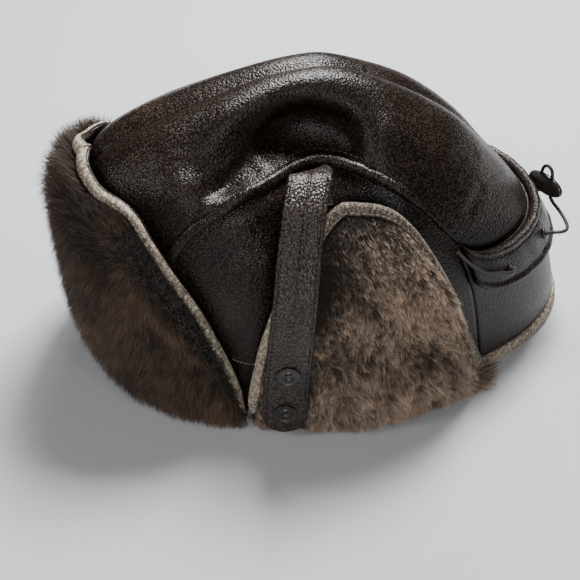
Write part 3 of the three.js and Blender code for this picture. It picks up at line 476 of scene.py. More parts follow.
def foldedFront(degrees):
    return np.where(degrees < -90, -180 - degrees, degrees)


hemLevel = curveThrough(*np.array(form["hem"]).T)
sideName = {1: "left", -1: "right"}

# Soft creases in the leather: points as angle and level on one side, then width and depth in mm;
# a depth below 0 is a ridge
creases = {
    "left": [
        ((-36, 0.84), (-27, 0.87), (-12, 0.885), (4, 0.862), 13.0, 8.5),
        ((-26, 0.8), (-11, 0.83), (5, 0.795), 9.0, 4.0),
        ((-31, 0.8), (-22, 0.84), 4.5, 2.2),
        ((-33, 0.775), (-19, 0.795), 6.0, 2.4),
        ((-43, 0.79), (-43, 0.87), (-45, 0.925), (-30, 0.953), (-8, 0.95), (12, 0.915), 8.0, -2.2),
        ((-66, 0.84), (-47, 0.77), 2.6, 0.9), ((-60, 0.8), (-50, 0.84), 2.2, 0.5),
        ((-46, 0.83), (-37, 0.72), 3.2, 0.8),
        ((-30, 0.79), (-18, 0.815), 2.4, 0.7), ((34, 0.71), (41, 0.68), 2.4, 0.9),
        ((25, 0.83), (33, 0.78), 3.5, 0.6), ((40, 0.6), (52, 0.63), 3.0, 0.6),
        ((-70, 0.72), (-58, 0.66), 3.0, 0.5), ((55, 0.74), (66, 0.7), 3.5, 0.5),
        ((-22, 0.62), (-12, 0.56), 3.0, 0.6),
    ],
    "right": [
        ((-62, 0.8), (-48, 0.74), 2.8, 0.8), ((-40, 0.84), (-30, 0.78), 3.0, 0.7),
        ((30, 0.74), (40, 0.7), 2.6, 0.8), ((12, 0.84), (24, 0.8), 3.4, 0.8),
        ((50, 0.62), (62, 0.66), 3.0, 0.6), ((-8, 0.86), (2, 0.8), 3.0, 0.6),
    ],
}
reliefSettings = {"wave": 0.55, "fineWave": 0.3, "share": 0.7, "bank": 0.3, "bankPlace": 1.9}


def softRelief(points, side):
    # slow waves of the soft skin, from sums of sines of place, less a valley along each crease: its depth
    # times a bell of the least distance to the crease's legs, with a low bank on both sides
    s = reliefSettings
    x, y, z = np.moveaxis(points, -1, 0)
    waves = s["wave"] * np.sin(x / 17 + y / 23 + 0.6) * np.sin(z / 19 + y / 31)
    relief = (waves + s["fineWave"] * np.sin(x / 9 - z / 11 + y / 13)) * s["share"]
    for *route, width, depth in creases[sideName[side]]:
        stops = [skin(angleOf(side, float(degrees)), np.asarray(rowAt(level))) for degrees, level in route]
        gap = np.full(points.shape[:-1], np.inf)
        for start, end in zip(stops, stops[1:]):
            along = end - start
            t = np.clip(((points - start) @ along) / (along @ along), 0, 1)
            gap = np.minimum(gap, np.linalg.norm(points - start - t[..., None] * along, axis=-1))
        bank = s["bank"] * depth * bump(gap - s["bankPlace"] * width, width)
        relief = relief - depth * bump(gap, width) + bank
    return relief


def degreesGrid(start, end, steps):
    return np.linspace(start, end, steps)[:, None]


# Crown, panels, welts
def leatherFaces(angle, rows, lifted):
    # the inner and the outer face of the leather, lifted from the head form
    return [layer(angle, rows, lifted - thick) for thick in (form["leather"], 0.0)]


# The hem's roll has a reach and a depth; rowHeight is about the millimetres that one row stands for
crownSettings = {"steps": 140, "rows": 72, "spread": 0.9, "hemGap": 0.9, "roll": 3.0, "rollDepth": 0.9,
                 "rowHeight": 700.0, "calm": 12.0}
for side in (1, -1):
    s = crownSettings
    degrees = degreesGrid(-90, 90, s["steps"])
    angle = angleOf(side, degrees)
    share = np.linspace(0, 1, s["rows"])[None, :] ** s["spread"]
    foot = rowAt(hemLevel(degrees) + levels(s["hemGap"] / 2))
    rows = foot + (1 - foot) * share
    depth = (rows - foot) * s["rowHeight"]
    calm = np.clip(depth / s["calm"], 0, 1) * np.clip(1.02 - share, 0, 1) ** 0.3
    lifted = softRelief(layer(angle, rows, 0.0), side) * calm - s["rollDepth"] * bump(depth, s["roll"])
    faces = leatherFaces(angle, rows, lifted)
    for face in faces:
        face[..., 0] += side * form["seamSlit"] / 2
    crown = tidyMesh(wallMesh(f"crown_leather_{sideName[side]}", *faces), 2e-5)
    finishPiece(crown, brownLeather, "brown_leather", f"crown_{sideName[side]}")
print("crown made")

panelSettings = {"start": -56.0, "end": 29.0, "rimLift": 1.2, "slit": 0.3, "neckEdge": 8.0, "fitGap": 0.35,
                 "rows": 48, "calm": 0.08, "relief": 0.8}


def panelWall(name, side, start, end, footLevel, node, fold=foldedBack):
    s = panelSettings
    degrees = degreesGrid(start, end, int(abs(end - start)) + 8)
    angle = angleOf(side, degrees)
    top = hemLevel(fold(degrees)) - levels(crownSettings["hemGap"] / 2)
    share = np.linspace(0, 1, s["rows"])[None, :]
    rows = rowAt(footLevel * (1 - share) + top * share)
    calm = np.clip(share / s["calm"], 0, 1) * np.clip((1 - share) / s["calm"], 0, 1)
    lifted = softRelief(layer(angle, rows, 0.0), side) * calm * s["relief"]
    finishPiece(wallMesh(name, *leatherFaces(angle, rows, lifted)), brownLeather, "brown_leather", node)


rimLevel = levels(panelSettings["rimLift"])
for side in (1, -1):
    name = sideName[side]
    panelWall(f"side_leather_{name}", side, panelSettings["start"], panelSettings["end"], rimLevel,
              f"side_panel_{name}")
frontEnd = panelSettings["start"] - panelSettings["slit"]
panelWall("front_leather", 1, -180 - frontEnd, frontEnd, rimLevel, "front_panel", foldedFront)
neckStart = panelSettings["end"] + panelSettings["slit"]
panelWall("neck_leather", 1, neckStart, 180 - neckStart,
          levels(panelSettings["neckEdge"] + panelSettings["fitGap"]), "neck_flap")
print("panels made")

weltSettings = {"width": 6.5, "height": 3.0, "start": -56.0, "end": 25.0, "steps": 220, "round": 20,
                "uneven": 0.06}
for side in (1, -1):
    # the section: a half round that stands a little in the leather, narrower at both ends
    s = weltSettings
    degrees = np.linspace(s["start"], s["end"], s["steps"])
    path = onForm(side, degrees, hemLevel(degrees), panelSettings["fitGap"])
    normal = outward(angleOf(side, degrees), rowAt(hemLevel(degrees)))
    across = unit(np.cross(normal, unit(np.gradient(path, axis=0))))
    turn = np.linspace(0, 2 * math.pi, s["round"], endpoint=False)
    wide, tall = np.cos(turn) * 0.5, np.maximum(np.sin(turn), -0.25)
    fromEnd = np.minimum(np.arange(s["steps"]), np.arange(s["steps"])[::-1])
    ends = np.clip(fromEnd / 10, 0.25, 1)[:, None, None]
    uneven = 1 + s["uneven"] * np.sin(degrees * 0.9)[:, None, None] * np.sin(degrees * 0.37)[:, None, None]
    section = path[:, None, :] + across[:, None, :] * (wide * s["width"])[None, :, None] * ends * uneven \
        + normal[:, None, :] * ((tall * 0.85 + 0.21) * s["height"])[None, :, None] * ends
    welt = tubeMesh(f"welt_{sideName[side]}", path, section)
    finishPiece(welt, brownLeather, "brown_leather", f"hem_welt_{sideName[side]}")
print("welts made")

# Back band, eyelets and pale neck edge
bandSettings = {
    "foot": 0.15, "cord": 2.2, "channelGap": 0.5, "leather": 1.6, "lift": 0.3, "steps": 130, "rows": 56,
    # up, inside, outside: the cover's section as shares of the band's thickness
    "section": [
        (0.0, 0.3, 0.8), (0.03, 0.14, 1.1), (0.06, 0.1, 1.2), (0.1, 0.1, 1.18), (0.15, 0.1, 1.04),
        (0.185, 0.5, 0.9), (0.22, 0.62, 0.98), (0.5, 0.66, 1.02), (0.78, 0.62, 0.98), (0.815, 0.5, 0.9),
        (0.85, 0.1, 1.06), (0.9, 0.1, 1.22), (0.95, 0.1, 1.24), (0.98, 0.14, 1.12), (1.0, 0.3, 0.8),
    ],
}
bandThickness = bandSettings["cord"] + 2 * bandSettings["channelGap"] + bandSettings["leather"]
bandStart = neckStart + 0.6


def bandTop(degrees):
    return hemLevel(foldedBack(degrees)) - levels(panelSettings["fitGap"])


degrees = degreesGrid(bandStart, 180 - bandStart, bandSettings["steps"])
bandRows = np.array(bandSettings["section"])
bandUp = np.linspace(0, 1, bandSettings["rows"])
bandLevels = bandTop(degrees) - bandSettings["foot"] * (1 - bandUp[None, :])
inside = np.interp(bandUp, bandRows[:, 0], bandRows[:, 1])[None, :]
inside = bandThickness * inside + bandSettings["lift"]
outside = curveThrough(bandRows[:, 0], bandRows[:, 2])(bandUp)[None, :]
outside = bandThickness * outside + bandSettings["lift"]
bandMesh = wallMesh("band_leather", onForm(1, degrees, bandLevels, inside),
                    onForm(1, degrees, bandLevels, outside + 0.15 * np.sin(degrees * 0.7)))
finishPiece(bandMesh, brownLeather, "brown_leather", "back_band")


def onBand(side, angle, drop, out):
    # a point of the band, drop below its top as a share of the crown's height, and the normal there
    row = np.asarray(rowAt(hemLevel(angle) - drop))
    return layer(angleOf(side, angle), row, out), outward(angleOf(side, angle), row)


def turnedMesh(name, centre, normal, profile, steps=56, ticks=(0, 0.0, 1.0, 1.0)):
    # a profile of radius and height turned about a direction, closed on itself; ticks are a cosine round
    # the turn, of a count, a height and a radius with its reach
    profile = np.asarray(profile, float)
    helper = np.array([0, 0, 1.0]) if abs(normal[2]) < 0.9 else np.array([1.0, 0, 0])
    across = unit(np.cross(helper, normal))
    up = np.cross(normal, across)
    turn = np.linspace(0, 2 * math.pi, steps, endpoint=False)
    ring = np.cos(turn)[:, None] * across + np.sin(turn)[:, None] * up
    count, tall, radius, reach = ticks
    away, height = profile[None, :, 0], profile[None, :, 1]
    wave = tall * np.cos(count * turn)[:, None] * bump(away - radius, reach) * (height > 0)
    points = centre + ring[:, None, :] * away[..., None] + normal * (height + wave)[..., None]
    points = points.reshape(-1, 3)
    return tidyMesh(makeMesh(name, points, outwardFaces(points, gridFaces(steps, len(profile), True))))


eyeletSettings = {
    "outer": 3.4, "inner": 1.6, "rim": 1.0,
    "places": [(1, "eyelet_side_left", 41.5, 0.09), (1, "eyelet_back_left", 64.0, 0.08),
               (-1, "eyelet_side_right", 41.5, 0.09), (-1, "eyelet_back_right", 64.0, 0.08)],
}
for side, node, angle, drop in eyeletSettings["places"]:
    s = eyeletSettings
    out = bandThickness * 1.04 + bandSettings["lift"] + panelSettings["fitGap"]
    centre, normal = onBand(side, angle, drop, out)
    middle, half = (s["outer"] + s["inner"]) / 2, (s["outer"] - s["inner"]) / 2
    turn = np.linspace(0, 2 * math.pi, 17)
    profile = np.stack([middle + half * np.cos(turn), s["rim"] * (0.35 + 0.65 * np.sin(turn))], -1)
    profile[:, 1] = np.maximum(profile[:, 1], 0)
    finishPiece(turnedMesh(f"{node}_ring", centre, normal, profile, 40), darkMetal, "dark_metal", node)

# the section is a soft oblong: its height and its width are signed powers of a sine and a cosine
neckEdgeSettings = {"height": 8.0, "thickness": 6.0, "steps": 240, "round": 26, "inset": 0.4,
                    "uneven": 0.25}
s = neckEdgeSettings
degrees = np.linspace(neckStart + s["inset"], 180 - neckStart - s["inset"], s["steps"])
turn = np.linspace(0, 2 * math.pi, s["round"], endpoint=False)
upShare = 0.5 + 0.5 * np.sign(np.sin(turn)) * np.abs(np.sin(turn)) ** 0.55
outShare = -0.06 + 0.36 * np.sign(np.cos(turn)) * np.abs(np.cos(turn)) ** 0.75
height = s["height"] * upShare[None, :] + 0 * degrees[:, None]
uneven = s["uneven"] * np.sin(degrees * 1.7)[:, None] * np.sin(degrees * 0.61 + 1)[:, None]
section = onForm(1, degrees[:, None], levels(height), outShare[None, :] * s["thickness"] + uneven)
section[..., 2] = height
finishPiece(tubeMesh("neck_raw_edge", section.mean(1), section), rawSkin, "raw_skin", "neck_flap_edge")
print("band and neck edge made")

# Turned-up flaps
flapSettings = {
    "fold": 0.012, "earRoot": 3.0, "earStandOff": 14.0, "earMiddle": 0.5, "earHalfSpan": 29.0,
    "frontRoot": 3.0, "frontStandOff": 7.0, "frontHalfSpan": 62.0, "leather": 2.0, "gap": 0.35,
    "edgeWidth": 5.0, "edgeThickness": 2.6, "rimLift": 1.2, "earFur": 8.0, "frontFur": 16.0,
    "wallSteps": 1.3, "wallRows": 44, "edgeSteps": 2.6, "edgeRows": 15,
    # start and end in degrees: ear flap, front flap, and where the ear flap's edge turns from pale to worn
    "ear": (-28, 28.6), "front": (-150.6, -29.4), "worn": -12,
    # angle and level of the free edges
    "frontLine": [
        (-90, 0.8), (-80, 0.772), (-70, 0.752), (-60, 0.741), (-54, 0.712), (-49, 0.648),
        (-44, 0.571), (-38, 0.468), (-34, 0.351), (-31, 0.236), (-29, 0.11),
    ],
    "earLine": [
        (-28, 0.05), (-26.2, 0.088), (-23, 0.228), (-20.5, 0.345), (-18.5, 0.418), (-16, 0.505),
        (-12, 0.615), (-8, 0.695), (-3, 0.738), (1, 0.735), (7, 0.72), (12, 0.688), (16, 0.628),
        (19, 0.536), (21.2, 0.425), (23.2, 0.29), (25.8, 0.168), (29, 0.06),
    ],
    # share up the flap and share of the pile's depth
    "earPile": [(0.0, 0.8), (0.12, 1.3), (0.26, 1.25), (0.5, 1.0), (0.75, 0.85), (0.92, 0.6), (1.0, 0.4)],
}
frontLine = curveThrough(*np.array(flapSettings["frontLine"]).T)
earLine = curveThrough(*np.array(flapSettings["earLine"]).T)


def rise(level, by):
    return 1 - (1 - np.minimum(level / by, 1)) ** 2


def earOut(degrees, level):
    s = flapSettings
    swell = np.maximum(1 - np.abs((degrees - s["earMiddle"]) / s["earHalfSpan"]) ** 2.5, 0)
    return s["earRoot"] + (s["earStandOff"] - s["earRoot"]) * rise(level, 0.24) * swell


def smoothStep(x, low, high):
    t = np.clip((x - low) / (high - low), 0, 1)
    return t * t * (3 - 2 * t)


def frontOut(degrees, level):
    s = flapSettings
    swell = np.maximum(1 - np.abs((degrees + 90) / s["frontHalfSpan"]) ** 4, 0)
    lean = 1 - 0.4 * smoothStep(level, 0.45, 0.8)
    return s["frontRoot"] + (s["frontStandOff"] - s["frontRoot"]) * rise(level, 0.2) * lean * swell


def earTop(degrees):
    # at its front end the edge shows a little ahead of the strap
    return earLine(degrees + 2.4 * (1 - smoothStep(degrees, -21, -10)))


def farEarTop(degrees):
    # the far flap has settled a little lower than the near one
    return earLine(degrees) - 0.035 * bump(degrees - 2, 16)


def frontTop(degrees):
    return frontLine(foldedFront(degrees))


def insideEdge(line, degrees, distance):
    # the level a given distance inside the free edge, measured square to the edge
    step = 0.5
    climb = (line(degrees + step) - line(degrees - step)) * form["crownHeight"]
    run = 2 * math.radians(step) * form["rimHalfWidth"]
    return line(degrees) - levels(distance * np.hypot(1, climb / run))


def liftedFrom(points, least):
    # the points, none of them lower than the least height
    points[..., 2] = np.maximum(points[..., 2], least)
    return points


def flapWall(name, side, span, topAt, outAt, node):
    s = flapSettings
    degrees = degreesGrid(*span, int(abs(span[1] - span[0]) * s["wallSteps"]))
    level = s["fold"] + (topAt(degrees) - s["fold"]) * np.linspace(0, 1, s["wallRows"])[None, :]
    out = outAt(degrees, level)
    faces = [liftedFrom(onForm(side, degrees, level, out + face * s["leather"], 0.0),
                        s["rimLift"] + (1 - face) * s["leather"]) for face in (0, 1)]
    finishPiece(wallMesh(name, *faces), brownLeather, "brown_leather", node)


def edgeBand(name, side, span, topAt, outAt, material, node):
    # a pale strip along the free edge, rounded across: out = gap + thickness * a flat-topped arch
    s = flapSettings
    degrees = degreesGrid(*span, int(abs(span[1] - span[0]) * s["edgeSteps"]))
    share = np.linspace(0, 1, s["edgeRows"])[None, :]
    inner = np.maximum(insideEdge(topAt, degrees, s["edgeWidth"]), s["fold"] + 0.02)
    level = inner + (topAt(degrees) - inner) * share
    base = outAt(degrees, level) + s["leather"] + s["gap"]
    arch = np.clip(1 - np.abs(2 * share - 1) ** 3.5, 0.12, 1)
    ragged = 1 + 0.1 * np.sin(degrees * 3.1) * np.sin(degrees * 1.3 + 0.7) + 0.06 * np.sin(degrees * 7.7)
    faces = [liftedFrom(onForm(side, degrees, level, base + face * s["edgeThickness"] * arch * ragged, 0.0),
                        s["rimLift"]) for face in (0, 1)]
    finishPiece(wallMesh(name, *faces), material, "raw_skin", node)


earStart, earEnd = flapSettings["ear"]
worn = flapSettings["worn"]
for side, topAt in ((1, earTop), (-1, farEarTop)):
    name = sideName[side]
    flapWall(f"ear_leather_{name}", side, (earStart, earEnd), topAt, earOut, f"ear_flap_{name}")
    node = f"ear_flap_edge_{name}"
    edgeBand(f"ear_raw_edge_{name}", side, (worn, earEnd), topAt, earOut, wornSkin, node)
    edgeBand(f"ear_pale_edge_{name}", side, (earStart, worn - 0.05), topAt, earOut, rawSkin, node)
flapWall("front_flap_leather", 1, flapSettings["front"], frontTop, frontOut, "front_flap")
edgeBand("front_raw_edge", 1, flapSettings["front"], frontTop, frontOut, rawSkin, "front_flap_edge")
print("flaps made")

# Straps, sockets, studs
strapSettings = {
    "thickness": 3.0, "widths": {1: 25.0, -1: 22.0}, "standOff": 14.0, "perRow": 10, "pieceGap": 0.15,
    "taper": 0.13, "taperRow": 8.0, "taperReach": 4.0, "ripple": 0.16, "tabStudRow": 4.4,
    "socketRows": [13.4, 15.1], "socketRadius": 6.2, "socketHole": 2.1, "socketHeight": 1.6,
    "studRadius": 3.5, "studHeight": 3.0, "panelStud": (-28.6, 0.052), "panelStudShare": 0.7,
    # profiles of the turned pieces, as shares of radius and height
    "socketRim": [(1, 0), (1, 0.42), (0.985, 0.6), (0.955, 0.66), (0.925, 0.58), (0.9, 0.42), (0.82, 0.36),
                  (0.74, 0.34), (0.52, 0.33), (0.48, 0.42), (0.445, 0.6)],
    "socketWell": [(1.2, 0.66), (1.05, 0.6), (0.95, 0.42), (0.88, 0.16)],
    "tabStud": [(1.5, 0), (1.5, 0.2), (1.2, 0.32), (0.75, 0.4), (0.72, 0.6), (0.95, 0.75), (1, 0.86),
                (0.85, 0.97), (0.4, 1)],
    "smallStud": [(1, 0), (1, 0.3), (0.9, 0.6), (0.65, 0.88), (0.3, 1)],
    # where the section has its points across, from -1 to 1: spans with a number of points
    "spans": [(-1, 1, 21), (-0.16, 0.16, 9), (-0.94, -0.74, 7), (0.74, 0.94, 7)],
    # angle, level, out as a share of standOff, how far the dents hold
    "run": [
        (-6.4, 0.672, 0.33, 1), (-6.5, 0.7, 0.33, 1), (-6.7, 0.728, 0.35, 1), (-7.0, 0.752, 0.42, 0.8),
        (-7.3, 0.776, 0.48, 0.5), (-7.7, 0.796, 0.62, 0.2), (-8.1, 0.802, 0.86, 0), (-8.7, 0.792, 1.11, 0),
        (-9.7, 0.762, 1.37, 0), (-11.2, 0.716, 1.61, 0), (-12.8, 0.64, 1.74, 0), (-14.0, 0.545, 1.76, 0),
        (-15.2, 0.44, 1.72, 0), (-16.2, 0.335, 1.64, 0), (-17.1, 0.23, 1.54, 0), (-17.8, 0.14, 1.45, 0),
        (-18.1, 0.1, 1.41, 0), (-18.3, 0.072, 1.38, 0), (-18.4, 0.055, 1.37, 0), (-18.5, 0.042, 1.36, 0),
    ],
    "tabRun": [
        (-6.4, 0.728, 0.16, 1), (-6.5, 0.7, 0.16, 1), (-6.7, 0.66, 0.165, 1), (-7.0, 0.615, 0.175, 1),
        (-7.3, 0.57, 0.19, 1), (-7.6, 0.53, 0.21, 1), (-7.8, 0.505, 0.225, 1), (-7.9, 0.488, 0.235, 1),
    ],
}


def beltPath(side):
    # the rows of a belt's run, sampled finely, with centres, directions across and normals
    s = strapSettings
    run = np.array(s["run"] if side > 0 else s["tabRun"], float)
    spots = np.linspace(0, len(run) - 1, (len(run) - 1) * s["perRow"] + 1)
    degrees, level, out, dented = (curveThrough(np.arange(len(run)), run[:, k])(spots) for k in range(4))
    out, dented = out * s["standOff"], np.clip(dented, 0, 1)
    centres, ahead, behind = (onForm(side, degrees + turned, level, out, dented) for turned in (0, 5, -5))
    along = unit(np.gradient(centres, axis=0))
    across = ahead - behind
    across = unit(across - along * np.sum(across * along, axis=1, keepdims=True))
    return spots, centres, across, np.cross(along, across) * side


def beltHalf(side, spots):
    # half the width: the near strap narrows a little part way down
    s = strapSettings
    return 1 - (s["taper"] if side > 0 else 0) * bump(spots - s["taperRow"], s["taperReach"])


def onBelt(centres, normal, row):
    # a point just above a belt's outer face, and the normal there
    s = strapSettings
    at = int(round(row * s["perRow"]))
    turned = unit(normal[at])
    return centres[at] + turned * (s["thickness"] / 2 + s["pieceGap"]), turned


for side in (1, -1):
    s = strapSettings
    spots, centres, across, normal = beltPath(side)
    half = s["widths"][side] / 2
    fromTip = np.linalg.norm(centres - centres[-1], axis=1)
    rounded = np.clip(1 - (1 - np.clip(fromTip / half, 0.004, 1)) ** 2.5, 0, 1) ** 0.42
    wide = rounded * beltHalf(side, spots)
    # the section: a flat oblong with rounded edges, grooved along both edges, and on the near strap raised
    # on both sides of a groove along the middle; slow ripples, which stop at the sockets
    u = np.unique(np.round(np.concatenate([np.linspace(*span) for span in s["spans"]]), 4))
    ripple = s["ripple"] * np.sin(spots * 2.3)[:, None] * np.sin(3 * u[None, :] + spots[:, None])
    pieceRows = s["socketRows"] if side > 0 else [s["tabStudRow"]]
    clear = 1 - sum(bump(spots - row, 0.8) for row in pieceRows)[:, None]
    seam = (1 - smoothStep(spots, 11.9, 12.5))[:, None] if side > 0 else 0.0
    middle = (0.22 * bump(np.abs(u) - 0.11, 0.06) - 0.6 * bump(u, 0.035))[None, :]
    dip = (-0.45 * bump(np.abs(u) - 0.84, 0.045))[None, :] + seam * middle
    edge = ((1 - np.abs(u) ** 9) ** 0.5)[None, :, None]
    sideways = u[None, :, None] * half * wide[:, None, None]
    flat = centres[:, None, :] + (-across * side)[:, None, :] * sideways
    thick = (s["thickness"] / 2) * edge
    upper = flat + normal[:, None, :] * (thick + (dip[..., None] + (ripple * clear)[..., None]) * edge)
    lower = flat - normal[:, None, :] * thick
    strap = tidyMesh(wallMesh(f"strap_leather_{sideName[side]}", lower, upper), 2e-5)
    finishPiece(strap, strapLeather, "strap_leather", f"strap_{sideName[side]}")

    # the small turned pieces, by profiles of radius and height
    if side > 0:
        r, h, hole = s["socketRadius"], s["socketHeight"], s["socketHole"]
        profile = [(r * share, h * up) for share, up in s["socketRim"]]
        profile += [(hole * share, h * up) for share, up in s["socketWell"]]
        profile += [(1e-4, h * 0.12), (1e-4, 0), (r, 0)]
        for number, row in enumerate(s["socketRows"], 1):
            socket = turnedMesh(f"socket_{number}", *onBelt(centres, normal, row), profile, 168,
                                (28, 0.09, r * 0.86, r * 0.07))
            finishPiece(socket, darkMetal, "dark_metal", f"press_socket_{number}")
    else:
        r, h = s["studRadius"], s["studHeight"]
        profile = [(1e-4, 0), *((r * share, h * up) for share, up in s["tabStud"]), (1e-4, h), (1e-4, 0)]
        stud = turnedMesh("tab_stud", *onBelt(centres, normal, s["tabStudRow"]), profile)
        finishPiece(stud, darkMetal, "dark_metal", "press_stud_tab")

    angle, row = angleOf(side, s["panelStud"][0]), np.asarray(rowAt(s["panelStud"][1]))
    r, h = s["studRadius"] * s["panelStudShare"], s["studHeight"] * s["panelStudShare"]
    profile = [(1e-4, 0), *((r * share, h * up) for share, up in s["smallStud"]), (1e-4, h), (1e-4, 0)]
    stud = turnedMesh(f"small_stud_{sideName[side]}", layer(angle, row, panelSettings["fitGap"]),
                      outward(angle, row), profile, 40)
    finishPiece(stud, darkMetal, "dark_metal", f"panel_stud_{sideName[side]}")
print("straps made")

# Drawcord and toggle
cordSettings = {
    "diameter": 2.2, "round": 18, "steps": 190, "loopSteps": 240, "twist": 0.5, "ridge": 0.04,
    # angle, drop below the band's top, out as a share of the band's thickness
    "run": [
        (26.5, 0.082, 1.42), (29.5, 0.08, 1.42), (33, 0.08, 1.42), (36.5, 0.082, 1.52), (38.7, 0.086, 1.74),
        (40.3, 0.089, 1.8), (41.2, 0.09, 1.6), (41.5, 0.09, 1.2), (41.7, 0.09, 0.8), (43.2, 0.089, 0.34),
        (46, 0.086, 0.31), (54, 0.08, 0.335), (62.2, 0.08, 0.305), (63.4, 0.08, 0.5), (64, 0.08, 0.86),
    ],
    "loop": [
        (42.75, 130.85, 64.35), (45, 133.8, 66), (46.9, 136.6, 67.2), (47.6, 140, 67.4),
        (45.8, 143.8, 66.6), (41, 147, 65.6), (34, 149, 64.8), (27, 150, 64.4), (20.6, 150.3, 64.2),
        (15.8, 149.8, 64.9), (13.3, 148.7, 67.6), (13.03, 148.05, 71.6), (13.03, 148.05, 77.6),
        (12.8, 148, 82.2), (11.6, 147.6, 85.8), (8.8, 146.6, 87.4), (6, 145.6, 85.8), (4.75, 145.1, 82),
        (4.57, 144.97, 77.6), (4.57, 144.97, 71.6), (4.1, 145.5, 67.4), (1, 147.3, 65), (-6, 148, 64.2),
        (-15, 147.4, 64), (-24, 145.6, 64.1), (-33, 142.8, 64.5), (-40.5, 140.4, 65.4),
        (-45.4, 138, 66.4), (-46.6, 135.6, 66.8), (-45, 133.8, 66), (-42.75, 130.85, 64.35),
    ],
    "toggle": {"centre": (8.8, 146.5, 74.6), "turn": 20.0, "length": 27.0, "width": 13.0, "depth": 7.5,
               "spacing": 9.0, "boreGap": 0.4, "boreReach": 12.0},
}


def lengthsAlong(path):
    return np.concatenate([[0], np.cumsum(np.linalg.norm(np.diff(path, axis=0), axis=1))])


def placesAt(wanted, length, path):
    # the points of a path at the wanted lengths along it
    return np.stack([np.interp(wanted, length, path[:, k]) for k in range(3)], -1)


def smoothPath(points, count):
    # centripetal Catmull-Rom through the points, then spaced evenly by length
    points = np.asarray(points, float)
    padded = np.vstack([2 * points[0] - points[1], points, 2 * points[-1] - points[-2]])
    knots = np.concatenate([[0], np.cumsum(np.linalg.norm(np.diff(padded, axis=0), axis=1) ** 0.5)])
    pieces = []
    for i in range(1, len(padded) - 2):
        t0, t1, t2, t3 = knots[i - 1:i + 3]
        t = np.linspace(t1, t2, 12, endpoint=False)[:, None]
        p0, p1, p2, p3 = padded[i - 1:i + 3]

        def blend(low, a, high, b, t=t):
            return (high - t) / (high - low) * a + (t - low) / (high - low) * b

        a1, a2, a3 = blend(t0, p0, t1, p1), blend(t1, p1, t2, p2), blend(t2, p2, t3, p3)
        pieces.append(blend(t1, blend(t0, a1, t2, a2), t2, blend(t1, a2, t3, a3)))
    fine = np.vstack(pieces + [points[-1:]])
    length = lengthsAlong(fine)
    return placesAt(np.linspace(0, length[-1], count), length, fine), length[-1]


def ringAround(turn, across, up):
    return np.cos(turn)[None, :, None] * across[:, None, :] + np.sin(turn)[None, :, None] * up[:, None, :]


def roundTube(name, path, radius, count, twist=0.0, ridge=0.0):
    # rings square to the path, carried along by the least turning; a raised spiral where ridge is set
    tangent = unit(np.gradient(path, axis=0))
    sideways = np.empty_like(path)
    sideways[0] = unit(np.cross(tangent[0], [0.13, 0.21, 0.97]))
    for i in range(1, len(path)):
        sideways[i] = unit(sideways[i - 1] - tangent[i] * np.dot(sideways[i - 1], tangent[i]))
    up = np.cross(tangent, sideways)
    turn = np.linspace(0, 2 * math.pi, count, endpoint=False)
    along = np.arange(len(path))[:, None]
    radii = radius * (1 - ridge + ridge * np.cos(2 * (turn[None, :] - along * twist)))
    return tubeMesh(name, path, path[:, None, :] + ringAround(turn, sideways, up) * radii[..., None])


cordRadius = cordSettings["diameter"] / 2
cordShape = (cordRadius, cordSettings["round"], cordSettings["twist"], cordSettings["ridge"])
for side in (1, -1):
    points = [onBand(side, angle, drop, out * bandThickness)[0] for angle, drop, out in cordSettings["run"]]
    heldPath = smoothPath(points, cordSettings["steps"])[0]
    finishPiece(roundTube(f"cord_held_{sideName[side]}", heldPath, *cordShape), cordCover, "cord_cover",
                f"drawcord_{sideName[side]}")

loopPath, loopLength = smoothPath(cordSettings["loop"], cordSettings["loopSteps"])
print("drawcord loop length in mm", round(float(loopLength), 2))
# the toggle: a bean, x = length * cos(v) to a soft power, its other two sizes by sin(v), and two bores
s = cordSettings["toggle"]
turned = math.radians(s["turn"])
upright = np.array([0, 0, 1.0])
toggleAlong = np.array([math.cos(turned), math.sin(turned), 0.0])
toggleAcross = np.array([-math.sin(turned), math.cos(turned), 0.0])
toggleCentre = np.array(s["centre"])
v = np.linspace(0, math.pi, 60)[:, None]
u = np.linspace(0, 2 * math.pi, 64, endpoint=False)[None, :]
reach = np.sin(v) ** 0.9
beanPoints = (toggleCentre + toggleAlong * (s["length"] / 2 * np.cos(v) + 0 * u)[..., None]
              + toggleAcross * (s["depth"] / 2 * reach * np.cos(u))[..., None]
              + upright * (s["width"] / 2 * reach * np.sin(u))[..., None])
togglePiece = tubeMesh("toggle_bean", beanPoints.mean(1), beanPoints)
bores = []
for sign in (1, -1):
    centre = toggleCentre + toggleAlong * s["spacing"] / 2 * sign
    path = centre + np.linspace(-1, 1, 12)[:, None] * upright * s["boreReach"]
    bores.append(roundTube(f"bore_{sign}", path, cordRadius + s["boreGap"], 28))
    cut = togglePiece.modifiers.new("bore", "BOOLEAN")
    cut.operation = "DIFFERENCE"
    cut.object = bores[-1]
    cut.solver = "EXACT"
bpy.context.view_layer.update()
bored = bpy.data.meshes.new_from_object(togglePiece.evaluated_get(bpy.context.evaluated_depsgraph_get()))
togglePiece.modifiers.clear()
togglePiece.data = bored
for bore in bores:
    bpy.data.objects.remove(bore)
finishPiece(togglePiece, toggleHorn, "toggle_horn", "toggle")
loopPiece = roundTube("cord_loop", loopPath, *cordShape)
finishPiece(loopPiece, cordCover, "cord_cover", "drawcord_loop")
print("cords made")


